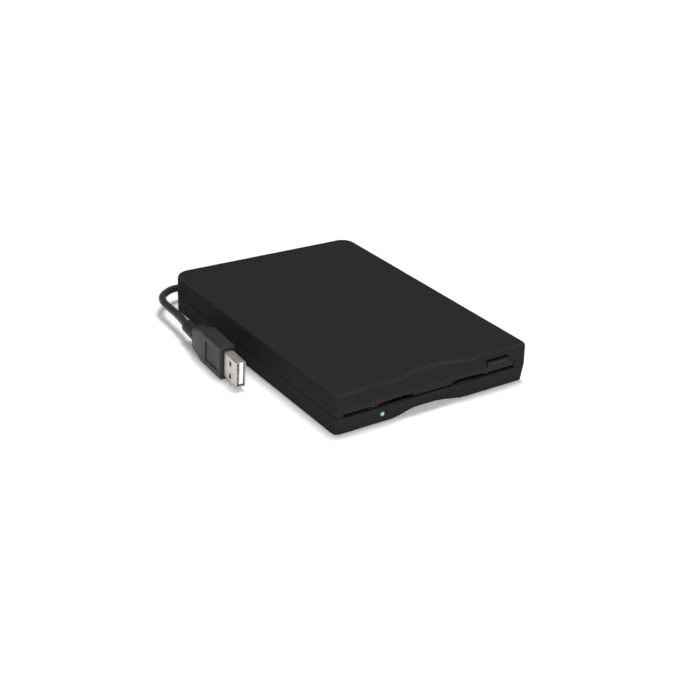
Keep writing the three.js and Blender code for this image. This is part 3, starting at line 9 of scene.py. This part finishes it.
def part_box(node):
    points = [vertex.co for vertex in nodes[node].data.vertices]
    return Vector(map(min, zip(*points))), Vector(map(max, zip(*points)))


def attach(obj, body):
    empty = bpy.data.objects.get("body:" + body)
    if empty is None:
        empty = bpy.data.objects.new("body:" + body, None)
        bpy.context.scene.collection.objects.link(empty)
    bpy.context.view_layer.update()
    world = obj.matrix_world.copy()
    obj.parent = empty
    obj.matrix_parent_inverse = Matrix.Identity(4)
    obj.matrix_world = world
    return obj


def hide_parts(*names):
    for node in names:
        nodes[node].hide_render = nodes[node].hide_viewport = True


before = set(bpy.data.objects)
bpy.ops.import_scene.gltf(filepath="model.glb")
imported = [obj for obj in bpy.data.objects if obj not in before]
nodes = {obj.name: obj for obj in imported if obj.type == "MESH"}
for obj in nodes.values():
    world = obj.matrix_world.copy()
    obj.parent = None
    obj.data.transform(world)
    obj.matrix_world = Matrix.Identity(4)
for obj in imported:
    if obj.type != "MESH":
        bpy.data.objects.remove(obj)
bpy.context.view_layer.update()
mm = 0.001

# Camera: the photograph was taken from the front left, a little above the drive, with a normal
# lens; the camera was held slightly turned about its own line of sight.
photo_size = 680
focal_pixels = 1190
camera_place = Vector((-297.5, -402.9, 248.8)) * mm
azimuth, elevation, roll = map(math.radians, (-36.39, 26.31, 3.83))
camera_back = Vector((math.sin(azimuth) * math.cos(elevation),
                      -math.cos(azimuth) * math.cos(elevation), math.sin(elevation)))
level_right = Vector((math.cos(azimuth), math.sin(azimuth), 0))
level_up = camera_back.cross(level_right)
camera_right = level_right * math.cos(roll) + level_up * math.sin(roll)
camera_up = level_up * math.cos(roll) - level_right * math.sin(roll)
camera_data = bpy.data.cameras.new("camera")
camera_data.sensor_width = 36
camera_data.lens = camera_data.sensor_width * focal_pixels / photo_size
camera = bpy.data.objects.new("camera", camera_data)
camera.matrix_world = Matrix.Translation(camera_place) @ Matrix(
    (camera_right, camera_up, camera_back)).transposed().to_4x4()
bpy.context.collection.objects.link(camera)
bpy.context.scene.camera = camera

# Cable: a thin round lead with a smooth black PVC jacket. It leaves the rear of the case, lies
# behind it as a hank of two loops, and comes forward beside the case to the plug.
cable_radius = 1.8 * mm
hank_left, hank_right = -14 * mm, 40 * mm
hank_turn = 7.3 * mm
hank_step = 4.3 * mm
hank_rise = 0.8 * mm
cable_gap = 0.45 * mm
hank_near = 72.55 * mm
hank_inner = hank_near + hank_step
hank_far = hank_inner + 2 * hank_turn
hank_low = cable_radius + 0.05 * mm
hank_high = hank_low + 2 * cable_radius + cable_gap
hank_draw = (hank_far - hank_inner - hank_step) / 2
hank_end = hank_left - 2 * cable_radius
run_steps, turn_steps = 8, 12
route_out = [(-30, 78.8, 8.4), (-30, 81, 8.25), (-29.2, 84.7, 7.75), (-27, 88.1, 7),
             (-23.9, 90.5, 6.3), (-20.6, 91.4, 5.95)]
route_away = [(-20.6, 72.6, 1.85), (-24.5, 72.8, 1.9), (-29, 73.7, 2.3), (-34, 74.9, 3.4),
              (-39.5, 75.7, 5.3), (-45, 75.3, 7.1), (-50.2, 73.6, 8), (-55, 71, 8.1),
              (-58.7, 67.2, 8.1), (-60.4, 62.6, 8), (-60.9, 57, 8), (-61.1, 51, 8),
              (-61.4, 45, 8), (-62, 40, 8), (-62.53, 35.5, 8)]


def hank_run(start, stop, y, inward, height, end_height):
    """A run of the hank along X, drawn in and lifted by the tie at its waist."""
    for i in range(run_steps + 1):
        share = i / run_steps
        drawn = math.sin(math.pi * share) ** 2
        eased = share * share * (3 - 2 * share)
        yield (start + (stop - start) * share, y + inward * hank_draw * drawn,
               height + (end_height - height) * eased + hank_rise * drawn)


def hank_half_turn(x, side, start, stop, height):
    """The half turn that joins two runs at an end of the hank."""
    for i in range(1, turn_steps):
        angle = math.pi * i / turn_steps
        radius = abs(stop - start) / 2
        yield (x + side * radius * math.sin(angle),
               (start + stop) / 2 + (start - stop) / 2 * math.cos(angle), height)


route = [Vector(p) * mm for p in route_out] + [Vector((hank_end, hank_far, hank_high))]
for loop, (near, height) in enumerate([(hank_inner, hank_high), (hank_near, hank_low)]):
    if loop:
        route += hank_half_turn(hank_left, -1, hank_inner, hank_far, height)
    route += hank_run(hank_left, hank_right, hank_far, -1, height, height)
    route += hank_half_turn(hank_right, 1, hank_far, near, height)
    route += hank_run(hank_right, hank_left, near, 1, height, hank_low)
route += [Vector((hank_end, hank_near, hank_low))] + [Vector(p) * mm for p in route_away]


broad_scale = 45
noise_middle = 0.5
facet_share = 0.35
# least share of the colour left by the painted shade in a rib's groove
painted_groove_shade = 0.35


def grain_group(label, stretch=(1, 1, 1), cells=0):
    """A fine surface: a colour that drifts a little, an uneven gloss and a shallow relief. Stretch
    draws the grain out along an axis, and cells adds crystals or tracks, that much coarser."""
    group = bpy.data.node_groups.new(label, "ShaderNodeTree")
    for name, kind, value in [
            ("Colour", "NodeSocketColor", (0.5, 0.5, 0.5, 1)), ("Drift", "NodeSocketFloat", 0.1),
            ("Roughness", "NodeSocketFloat", 0.5), ("Gloss Spread", "NodeSocketFloat", 0.1),
            ("Grain Scale", "NodeSocketFloat", 4000), ("Relief", "NodeSocketFloat", 1)]:
        group.interface.new_socket(name, in_out="INPUT", socket_type=kind).default_value = value
    for name, kind in [("Colour", "NodeSocketColor"), ("Roughness", "NodeSocketFloat"),
                       ("Height", "NodeSocketFloat")]:
        group.interface.new_socket(name, in_out="OUTPUT", socket_type=kind)
    given = group.nodes.new("NodeGroupInput")
    result = group.nodes.new("NodeGroupOutput")
    place = group.nodes.new("ShaderNodeTexCoord")
    drawn = group.nodes.new("ShaderNodeMapping")
    drawn.inputs["Scale"].default_value = stretch
    group.links.new(place.outputs["Object"], drawn.inputs["Vector"])

    def math_node(operation, *values):
        node = group.nodes.new("ShaderNodeMath")
        node.operation = operation
        for socket, value in zip(node.inputs, values):
            if isinstance(value, (int, float)):
                socket.default_value = value
            else:
                group.links.new(value, socket)
        return node.outputs[0]

    fine = group.nodes.new("ShaderNodeTexNoise")
    fine.inputs["Detail"].default_value = 3
    group.links.new(drawn.outputs["Vector"], fine.inputs["Vector"])
    group.links.new(given.outputs["Grain Scale"], fine.inputs["Scale"])
    broad = group.nodes.new("ShaderNodeTexNoise")
    broad.inputs["Scale"].default_value = broad_scale
    broad.inputs["Detail"].default_value = 4
    group.links.new(place.outputs["Object"], broad.inputs["Vector"])
    centred = math_node("SUBTRACT", broad.outputs[0], noise_middle)
    if cells:
        crystals = group.nodes.new("ShaderNodeTexVoronoi")
        group.links.new(place.outputs["Object"], crystals.inputs["Vector"])
        group.links.new(math_node("MULTIPLY", given.outputs["Grain Scale"], cells),
                        crystals.inputs["Scale"])
        facet = math_node("SUBTRACT", crystals.outputs["Color"], noise_middle)
        centred = math_node("ADD", centred, math_node("MULTIPLY", facet, facet_share))
    factor = math_node("MULTIPLY_ADD", centred, given.outputs["Drift"], 1)
    tinted = group.nodes.new("ShaderNodeVectorMath")
    tinted.operation = "SCALE"
    group.links.new(given.outputs["Colour"], tinted.inputs[0])
    group.links.new(factor, tinted.inputs["Scale"])
    group.links.new(tinted.outputs[0], result.inputs["Colour"])
    uneven = math_node("ADD", math_node("SUBTRACT", fine.outputs[0], noise_middle), centred)
    group.links.new(math_node("MULTIPLY_ADD", uneven, given.outputs["Gloss Spread"],
                              given.outputs["Roughness"]), result.inputs["Roughness"])
    group.links.new(math_node("MULTIPLY", fine.outputs[0], given.outputs["Relief"]),
                    result.inputs["Height"])
    return group


moulded_grain = grain_group("moulded grain")
rolled_sheet = grain_group("rolled sheet", stretch=(1, 0.06, 1), cells=0.4)
board_tracks = grain_group("board tracks", stretch=(1, 0.1, 1), cells=0.8)
pitted_grain = grain_group("pitted grain", cells=0.9)


def grained(name, colour, roughness, drift=0.12, spread=0.12, scale=4000, relief=1,
            depth=0.03 * mm, group=moulded_grain, **sockets):
    """A material on a grain group; the other sockets are the shader's own, by their labels."""
    made = bpy.data.materials.new(name)
    made.use_nodes = True
    tree = made.node_tree
    shader = tree.nodes["Principled BSDF"]
    grain = tree.nodes.new("ShaderNodeGroup")
    grain.name = "grain"
    grain.node_tree = group
    for label, value in {"Colour": (*colour, 1), "Drift": drift, "Roughness": roughness,
                         "Gloss Spread": spread, "Grain Scale": scale, "Relief": relief}.items():
        grain.inputs[label].default_value = value
    bump = tree.nodes.new("ShaderNodeBump")
    bump.name = "relief"
    bump.inputs["Distance"].default_value = depth
    tree.links.new(grain.outputs["Colour"], shader.inputs["Base Color"])
    tree.links.new(grain.outputs["Roughness"], shader.inputs["Roughness"])
    tree.links.new(grain.outputs["Height"], bump.inputs["Height"])
    tree.links.new(bump.outputs["Normal"], shader.inputs["Normal"])
    for label, value in sockets.items():
        shader.inputs[label].default_value = value
    return made


def banded(name, colour, roughness, axis, pitch, depth, **sockets):
    """A material with round ribs across an axis, as on a wound wire or a thread, whose colour is
    darkened in the grooves between the ribs as painted shade.
    """
    made = grained(name, colour, roughness, depth=depth, **sockets)
    tree = made.node_tree
    place = tree.nodes.new("ShaderNodeTexCoord")
    ribs = tree.nodes.new("ShaderNodeTexWave")
    ribs.bands_direction = axis
    # a wave texture has 20 over 2 pi bands in a metre at a scale of 1
    ribs.inputs["Scale"].default_value = 2 * math.pi / 20 / pitch
    tree.links.new(place.outputs["Object"], ribs.inputs["Vector"])
    tree.links.new(ribs.outputs["Fac"], tree.nodes["relief"].inputs["Height"])
    # painted shade: the base colour is darkened in the grooves between the ribs
    shade = tree.nodes.new("ShaderNodeMapRange")
    shade.inputs["To Min"].default_value = painted_groove_shade
    dark = tree.nodes.new("ShaderNodeVectorMath")
    dark.operation = "SCALE"
    tree.links.new(ribs.outputs["Fac"], shade.inputs["Value"])
    tree.links.new(tree.nodes["grain"].outputs["Colour"], dark.inputs[0])
    tree.links.new(shade.outputs["Result"], dark.inputs["Scale"])
    tree.links.new(dark.outputs[0], tree.nodes["Principled BSDF"].inputs["Base Color"])
    return made


jacket = grained("cable jacket", (0.017, 0.016, 0.0165), 0.33, spread=0.25, scale=1500, relief=0.8,
                 depth=0.06 * mm, **{"Specular IOR Level": 0.3})
cable_curve = bpy.data.curves.new("cable", "CURVE")
cable_curve.dimensions = "3D"
cable_curve.bevel_depth = cable_radius
cable_curve.bevel_resolution = 6
cable_curve.resolution_u = 6
cable_curve.use_fill_caps = True
spline = cable_curve.splines.new("BEZIER")
spline.bezier_points.add(len(route) - 1)
for point, place in zip(spline.bezier_points, route):
    point.co = place
    point.handle_left_type = point.handle_right_type = "AUTO"
cable_curve.materials.append(jacket)
cable = bpy.data.objects.new("cable", cable_curve)
bpy.context.collection.objects.link(cable)
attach(cable, "case")
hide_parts("cable_start", "cable_hank", "cable_end")

# Hank tie and strain relief: a ribbed black nylon strap round the hank's waist, and a soft sleeve
# with three ribs that is clipped into the case's rear.
weld_gap = 0.001 * mm
flat_angle, corner_angle = math.radians(0.4), math.radians(34)
bevel_steps = 2
# material slot of the painted highlight on broken edges
highlight_slot = 1


def finished(name, node, edge, made, body="case", edge_highlight=None):
    """A moulded or stamped piece: a node's own shape with its flats made whole and edges broken;
    a second material, where given, paints a highlight on the broken edges."""
    mesh = nodes[node].data.copy()
    mesh.name = name
    form = bmesh.new()
    form.from_mesh(mesh)
    bmesh.ops.remove_doubles(form, verts=form.verts, dist=weld_gap)
    bmesh.ops.dissolve_limit(form, angle_limit=flat_angle, verts=form.verts, edges=form.edges,
                             delimit={"NORMAL"})
    form.to_mesh(mesh)
    form.free()
    mesh.materials.clear()
    for finish in (made, edge_highlight or made):
        mesh.materials.append(finish)
    mesh.shade_smooth()
    mesh.set_sharp_from_angle(angle=corner_angle)
    piece = bpy.data.objects.new(name, mesh)
    bpy.context.collection.objects.link(piece)
    bevel = piece.modifiers.new("broken edges", "BEVEL")
    bevel.width = edge
    bevel.segments = bevel_steps
    bevel.limit_method = "ANGLE"
    bevel.angle_limit = corner_angle
    bevel.harden_normals = True
    bevel.material = highlight_slot
    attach(piece, body)
    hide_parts(node)
    return piece


strap_nylon = banded("strap nylon", (0.026, 0.026, 0.028), 0.5, axis="X", pitch=0.8 * mm,
                     depth=0.15 * mm)
strap = finished("hank_strap", "cable_tie", 0.25 * mm, strap_nylon)
finished("exit_sleeve", "strain_relief", 0.15 * mm, jacket)

# Plug: a black PVC grip moulded over the cable's end, with a sunk panel on each side and a ribbed
# boot, and a nickel-plated steel shell round a white tongue with four contacts.
plug_plastic = grained("plug plastic", (0.0125, 0.0112, 0.0114), 0.42, drift=1.6, spread=0.3,
                       scale=1100, relief=1, depth=0.35 * mm, group=pitted_grain,
                       **{"Specular IOR Level": 0.3})
# painted highlight on the grip's broken edges: a lighter plastic than the grip
plug_edge_highlight = grained("painted plug edge highlight", (0.022, 0.019, 0.018), 0.4, drift=1.6, spread=0.3,
                      scale=1100, relief=0.8, group=pitted_grain, **{"Specular IOR Level": 0.3})
plug_body = finished("plug_body", "plug_grip", 0.3 * mm, plug_plastic,
                     edge_highlight=plug_edge_highlight)
nickel = grained("nickel plate", (0.54, 0.515, 0.48), 0.36, drift=0.25, spread=0.25, scale=1300,
                 relief=0.5, depth=0.015 * mm, group=rolled_sheet, Metallic=1.0)
plug_sleeve = finished("plug_sleeve", "plug_shell", 0.12 * mm, nickel)
tongue_plastic = grained("tongue plastic", (0.86, 0.85, 0.83), 0.42, drift=0.05, scale=3200,
                         relief=0.4)
plug_insert = finished("plug_insert", "plug_tongue", 0.12 * mm, tongue_plastic)
gold_flash = grained("contact plate", (0.72, 0.58, 0.32), 0.25, drift=0.2, spread=0.2, scale=1500,
                     relief=0.3, group=rolled_sheet, Metallic=1.0)


def dress(names, made):
    """Gives CAD nodes a material."""
    for name in names:
        nodes[name].data.materials.clear()
        nodes[name].data.materials.append(made)


contacts = [f"plug_contact_{i}" for i in (1, 2, 3, 4)]
dress(contacts, gold_flash)

# Covers: two shells moulded in soft black ABS with a fine satin grain, which meet at a seam round
# the case; the front is scooped in its middle. Their broken edges and the top's front rounding
# take a lighter, glossier plastic that paints a highlight along them.
cover_plastic = grained("cover plastic", (0.0178, 0.0166, 0.0186), 0.6, drift=0.1, spread=0.1,
                        scale=5200, relief=0.6, **{"Specular IOR Level": 0.02})
# painted highlight for the covers' broken edges: a lighter, glossier plastic than the covers
cover_edge_highlight = grained("painted cover edge highlight", (0.0192, 0.018, 0.02), 0.5, drift=0.3, spread=0.1,
                       scale=2600, relief=0.3, **{"Specular IOR Level": 0.07})
upper_shell = finished("upper_shell", "upper_cover", 0.1 * mm, cover_plastic,
                       edge_highlight=cover_edge_highlight)
# the faces of the top's front rounding take the painted highlight too
rounding_foot = 17.9 * mm
rounding_side, rounding_top = 0.3, 0.92
for face in upper_shell.data.polygons:
    if face.center.z > rounding_foot and rounding_side < face.normal.z < rounding_top:
        face.material_index = highlight_slot
finished("lower_shell", "lower_cover", 0.15 * mm, cover_plastic, edge_highlight=cover_edge_highlight)

# Feet: four soft black rubber discs, glued into round seats in the underside; their soles are
# dull and dusty.
foot_rubber = grained("foot rubber", (0.021, 0.02, 0.02), 0.85, drift=0.45, spread=0.15, scale=1400,
                      relief=1.2, **{"Specular IOR Level": 0.15})
for corner in ("front_left", "front_right", "rear_left", "rear_right"):
    finished(f"rubber_foot_{corner}", f"foot_{corner}", 0.2 * mm, foot_rubber)

# Case screws: two zinc-plated steel screws with cross recesses, sunk in wells in the underside and
# driven up from there to hold the covers together.
zinc_plate = grained("zinc plate", (0.55, 0.56, 0.58), 0.34, drift=0.3, spread=0.25, scale=900,
                     relief=0.4, depth=0.02 * mm, group=rolled_sheet, Metallic=1.0)
for side in ("left", "right"):
    finished(f"cross_screw_{side}", f"case_screw_{side}", 0.12 * mm, zinc_plate)

# Door flap: a strip of the same plastic that hangs in the slot on two pins, with a hollow on each
# side of its middle. It closes the slot's upper edge and left end more tightly than its pins need,
# and leaves a dark gap at its foot and its right end.
flap_plastic = grained("flap plastic", (0.0178, 0.0166, 0.0186), 0.6, drift=0.08, spread=0.08,
                       scale=5200, relief=0.5, **{"Specular IOR Level": 0.06})
flap_left, flap_right = -47.95 * mm, 43.95 * mm
flap_foot, flap_top, flap_face, flap_middle = 9.1 * mm, 12.3 * mm, -70.5 * mm, -2 * mm
flap_close = 0.24 * mm
flap_open = 2 * flap_close
flap_shoulder, flap_lip = flap_top + 2 * flap_close, flap_foot + 1.5 * flap_close
hollow_shallow, hollow_deep, hollow_top, hollow_spread = 0.3 * mm, 1.2 * mm, 11.1 * mm, 30 * mm
deeper_share, raised_share = 0.6, 0.95
tolerance = 0.02 * mm
# its broken edges take the covers' painted highlight
flap = finished("door_flap", "slot_door", 0.08 * mm, flap_plastic, body="door",
                edge_highlight=cover_edge_highlight)
for vertex in flap.data.vertices:
    if abs(vertex.co.z - flap_top) < tolerance:
        vertex.co.z += flap_close
    if vertex.co.z < flap_shoulder:
        if abs(vertex.co.x - flap_left) < tolerance:
            vertex.co.x -= flap_close
        if abs(vertex.co.x - flap_right) < tolerance:
            vertex.co.x -= flap_open
    if abs(vertex.co.z - flap_foot) < tolerance:
        vertex.co.z += flap_close
    inward = vertex.co.y - flap_face
    if hollow_shallow < inward < hollow_deep and vertex.co.z < hollow_top and \
            abs(vertex.co.x - flap_middle) < hollow_spread:
        vertex.co.y += deeper_share * inward
        if vertex.co.z < flap_lip:
            vertex.co.z += raised_share * inward

# Eject button: a small key in the slot's upper edge, a shade lighter than the case, with a dark
# gap over it.
button_plastic = grained("button plastic", (0.0215, 0.0205, 0.0215), 0.5, drift=0.1, spread=0.08,
                         scale=5200, relief=0.4, **{"Specular IOR Level": 0.1})
# its broken edges take the covers' painted highlight
key = finished("eject_key", "eject_button", 0.15 * mm, button_plastic, body="eject",
               edge_highlight=cover_edge_highlight)
key_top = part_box("eject_button")[1].z
key_gap = 0.35 * mm
for vertex in key.data.vertices:
    if vertex.co.z > key_top - tolerance:
        vertex.co.z -= key_gap

# Status light: a green light pipe through the lower cover, which glows palest in its middle, and
# the lamp behind it in a white nylon holder.
lens_low, lens_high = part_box("led_lens")
lens_middle = (lens_low + lens_high) / 2
lens_radius = 1.25 * mm
lens_glow = grained("light pipe", (0.05, 0.16, 0.06), 0.3, spread=0.04, scale=3000, relief=0.2,
                    **{"Specular IOR Level": 0.4})
tree = lens_glow.node_tree
place = tree.nodes.new("ShaderNodeTexCoord")
centre = tree.nodes.new("ShaderNodeMapping")
centre.inputs["Location"].default_value = (-lens_middle.x, 0, -lens_middle.z)
centre.inputs["Scale"].default_value = (1, 0, 1)
out = tree.nodes.new("ShaderNodeVectorMath")
out.operation = "LENGTH"
glow = tree.nodes.new("ShaderNodeMapRange")
glow.interpolation_type = "SMOOTHSTEP"
glow.inputs["From Max"].default_value = lens_radius
glow.inputs["To Min"].default_value = 1
glow.inputs["To Max"].default_value = 0
colours = tree.nodes.new("ShaderNodeValToRGB")
colours.color_ramp.elements[0].color = (0.004, 0.035, 0.006, 1)
colours.color_ramp.elements[1].color = (0.62, 1, 0.66, 1)
middle_stop = colours.color_ramp.elements.new(0.5)
middle_stop.color = (0.03, 0.2, 0.05, 1)
tree.links.new(place.outputs["Object"], centre.inputs["Vector"])
tree.links.new(centre.outputs["Vector"], out.inputs[0])
tree.links.new(out.outputs["Value"], glow.inputs["Value"])
tree.links.new(glow.outputs["Result"], colours.inputs["Fac"])
shader = tree.nodes["Principled BSDF"]
tree.links.new(colours.outputs["Color"], shader.inputs["Emission Color"])
shader.inputs["Emission Strength"].default_value = 1.2
finished("light_pipe", "led_lens", 0.1 * mm, lens_glow)
white_nylon = grained("white nylon", (0.72, 0.71, 0.67), 0.45, drift=0.06, scale=2500, relief=0.5)
dress(["led_emitter"], white_nylon)

# Deck: a tray folded from galvanised steel sheet, with ears in front and posts behind, and a cover
# plate stamped from the same sheet, which four small screws hold down on them.
deck_steel = grained("deck steel", (0.5, 0.51, 0.53), 0.36, drift=0.35, spread=0.3, scale=700,
                     relief=0.5, depth=0.02 * mm, group=rolled_sheet, Metallic=1.0)
finished("deck_tray", "drive_tray", 0.08 * mm, deck_steel)
finished("deck_cover", "drive_cover", 0.08 * mm, deck_steel)

# Disk holder: a C section folded from thin bright steel that the disk slides into; four pins at
# its sides ride in the eject slide's cams and lift it.
bright_steel = grained("bright steel", (0.6, 0.61, 0.62), 0.28, drift=0.2, spread=0.25, scale=1100,
                       relief=0.35, depth=0.02 * mm, group=rolled_sheet, Metallic=1.0)
finished("holder_plate", "disk_holder", 0.06 * mm, bright_steel, body="holder")

# Eject slide: a steel plate with folded sides over the holder, whose cams let the holder down as
# the slide goes forward; two coil springs of steel wire behind it push it that way.
finished("slide_plate", "eject_slide", 0.07 * mm, deck_steel, body="eject")
coiled_wire = banded("coiled wire", (0.55, 0.55, 0.56), 0.3, axis="Y", pitch=0.8 * mm,
                     depth=0.3 * mm, Metallic=1.0)
dress(["eject_spring_left", "eject_spring_right"], coiled_wire)

# Trigger lever: an arm stamped from zinc-plated steel, which turns on a stud behind the slide; its
# pin hangs down in the disk's way, and the disk's leading edge pushes it round.
finished("trigger_arm", "trigger_lever", 0.08 * mm, zinc_plate, body="trigger")

# Spindle motor: a sintered bronze bearing, enamelled copper coils on an iron plate, and a steel
# rotor with the disk's hub and its drive pin on top.
bronze = grained("sintered bronze", (0.62, 0.43, 0.18), 0.42, drift=0.4, spread=0.3, scale=2600,
                 relief=1, Metallic=1.0)
dress(["spindle_bearing"], bronze)
finished("hub_pin", "drive_pin", 0.1 * mm, bronze, body="spindle")
copper_wire = banded("copper coils", (0.62, 0.27, 0.12), 0.35, axis="Z", pitch=0.28 * mm,
                     depth=0.1 * mm, Metallic=1.0)
dress(["motor_stator"], copper_wire)
finished("rotor_cup", "motor_rotor", 0.15 * mm, bright_steel, body="spindle")
finished("disk_hub", "spindle_hub", 0.1 * mm, zinc_plate, body="spindle")

# Head carriage: a moulded carriage of glass-filled nylon on a polished rod, a stamped upper arm,
# and two ceramic heads.
carriage_nylon = grained("carriage nylon", (0.58, 0.56, 0.5), 0.5, drift=0.12, scale=2200,
                         relief=0.7)
finished("carriage_body", "head_carriage", 0.15 * mm, carriage_nylon, body="carriage")
finished("upper_arm_plate", "upper_head_arm", 0.08 * mm, zinc_plate, body="head_arm")
head_ceramic = grained("head ceramic", (0.33, 0.31, 0.29), 0.22, drift=0.1, spread=0.05, scale=3500,
                       relief=0.2)
dress(["lower_head", "upper_head"], head_ceramic)
polished_steel = grained("polished steel", (0.66, 0.66, 0.67), 0.14, drift=0.1, spread=0.1,
                         scale=1500, relief=0.1, depth=0.01 * mm, group=rolled_sheet, Metallic=1.0)
dress(["guide_rod"], polished_steel)
dress(["rod_saddle_front", "rod_saddle_rear"], white_nylon)

# Carriage drive: a stepper motor turns a lead screw that rests in a bracket, and a light gate
# senses the outermost track.
finished("stepper_can", "stepper_motor", 0.2 * mm, bright_steel)
screw_thread = banded("screw thread", (0.6, 0.6, 0.61), 0.2, axis="Y", pitch=0.9 * mm,
                      depth=0.25 * mm, Metallic=1.0)
dress(["lead_screw"], screw_thread)
finished("bearing_bracket", "screw_bracket", 0.08 * mm, deck_steel)
sensor_plastic = grained("sensor plastic", (0.018, 0.018, 0.02), 0.4, scale=4200, relief=0.4)
finished("light_gate", "track_zero_sensor", 0.12 * mm, sensor_plastic)

# Boards: glass-fibre laminate under green solder mask over copper tracks, with moulded chips and a
# flat amber ribbon of flexible film between the two boards.
solder_mask = grained("solder mask", (0.012, 0.1, 0.035), 0.3, drift=0.7, spread=0.1, scale=420,
                      relief=1.2, depth=0.03 * mm, group=board_tracks, **{"Coat Weight": 0.4})
finished("control_board", "main_board", 0.06 * mm, solder_mask)
finished("bridge_board", "usb_board", 0.06 * mm, solder_mask)
chip_epoxy = grained("chip epoxy", (0.017, 0.017, 0.018), 0.62, drift=0.2, scale=4800, relief=0.7)
for chip in ("control_chip", "motor_chip", "bridge_chip"):
    finished(f"{chip}_body", chip, 0.12 * mm, chip_epoxy)
amber_film = grained("amber film", (0.42, 0.2, 0.04), 0.25, drift=0.15, scale=1800, relief=0.2,
                     **{"Coat Weight": 0.3})
finished("film_ribbon", "flat_cable", 0.05 * mm, amber_film)

# Switches: two black moulded blocks at the tray's front, with three white nylon plungers in all,
# which feel the disk's density hole, its write-protect hole and the disk itself.
for side in ("left", "right"):
    finished(f"switch_body_{side}", f"switch_block_{side}", 0.15 * mm, sensor_plastic)
dress(["density_plunger", "write_protect_plunger", "disk_in_plunger"], white_nylon)

# Floor: a wide flat sheet of matt pale paper, which turns white to the camera away from the drive
# and keeps the drive's shadow near it; it is seen through from below.
floor_half = 6
glow_start, glow_full, glow_least = 0.16, 0.6, 0.04
floor_mesh = bpy.data.meshes.new("floor")
form = bmesh.new()
bmesh.ops.create_grid(form, x_segments=1, y_segments=1, size=floor_half)
form.to_mesh(floor_mesh)
form.free()
floor = bpy.data.objects.new("floor", floor_mesh)
bpy.context.collection.objects.link(floor)
floor_paint = bpy.data.materials.new("floor paint")
floor_paint.use_nodes = True
tree = floor_paint.node_tree
shader = tree.nodes["Principled BSDF"]
shader.inputs["Base Color"].default_value = (0.93, 0.93, 0.93, 1)
shader.inputs["Roughness"].default_value = 0.9
shader.inputs["Specular IOR Level"].default_value = 0
shader.inputs["Emission Color"].default_value = (1, 1, 1, 1)
rays = tree.nodes.new("ShaderNodeLightPath")
seen = tree.nodes.new("ShaderNodeMath")
seen.operation = "MAXIMUM"
place = tree.nodes.new("ShaderNodeTexCoord")
away = tree.nodes.new("ShaderNodeVectorMath")
away.operation = "LENGTH"
lift = tree.nodes.new("ShaderNodeMapRange")
lift.interpolation_type = "SMOOTHSTEP"
lift.inputs["From Min"].default_value = glow_start
lift.inputs["From Max"].default_value = glow_full
lift.inputs["To Min"].default_value = glow_least
shown = tree.nodes.new("ShaderNodeMath")
shown.operation = "MULTIPLY"
tree.links.new(rays.outputs["Is Camera Ray"], seen.inputs[0])
tree.links.new(rays.outputs["Is Glossy Ray"], seen.inputs[1])
tree.links.new(place.outputs["Object"], away.inputs[0])
tree.links.new(away.outputs["Value"], lift.inputs["Value"])
tree.links.new(seen.outputs[0], shown.inputs[0])
tree.links.new(lift.outputs["Result"], shown.inputs[1])
tree.links.new(shown.outputs[0], shader.inputs["Emission Strength"])
below = tree.nodes.new("ShaderNodeNewGeometry")
clear = tree.nodes.new("ShaderNodeBsdfTransparent")
either = tree.nodes.new("ShaderNodeMixShader")
tree.links.new(below.outputs["Backfacing"], either.inputs["Fac"])
tree.links.new(shader.outputs["BSDF"], either.inputs[1])
tree.links.new(clear.outputs["BSDF"], either.inputs[2])
tree.links.new(either.outputs["Shader"], tree.nodes["Material Output"].inputs["Surface"])
floor.data.materials.append(floor_paint)

# Light: a room that is white to the camera and grey to the drive, a soft lamp overhead, a little to
# the right and rear, and a larger one low in front on the left.
room_grey = 0.3
world = bpy.data.worlds.new("studio")
world.use_nodes = True
bpy.context.scene.world = world
tree = world.node_tree
sky = tree.nodes["Background"]
sky.inputs["Color"].default_value = (1, 1, 1, 1)
rays = tree.nodes.new("ShaderNodeLightPath")
strength = tree.nodes.new("ShaderNodeMapRange")
strength.inputs["To Min"].default_value = room_grey
tree.links.new(rays.outputs["Is Camera Ray"], strength.inputs["Value"])
tree.links.new(strength.outputs[0], sky.inputs["Strength"])


def soft_lamp(name, place, target, size, power):
    """A square soft box that faces a point."""
    data = bpy.data.lights.new(name, "AREA")
    data.shape = "SQUARE"
    data.size = size
    data.energy = power
    lamp = bpy.data.objects.new(name, data)
    lamp.location = place
    lamp.rotation_euler = (Vector(target) - Vector(place)).to_track_quat("-Z", "Y").to_euler()
    bpy.context.collection.objects.link(lamp)


soft_lamp("key", (0.1, 0.08, 0.95), (0, 0, 0), 0.35, 7)
soft_lamp("fill", (-0.42, -0.88, 0.42), (0, 0, 0), 0.7, 8.5)

bpy.context.scene.view_settings.view_transform = "Standard"
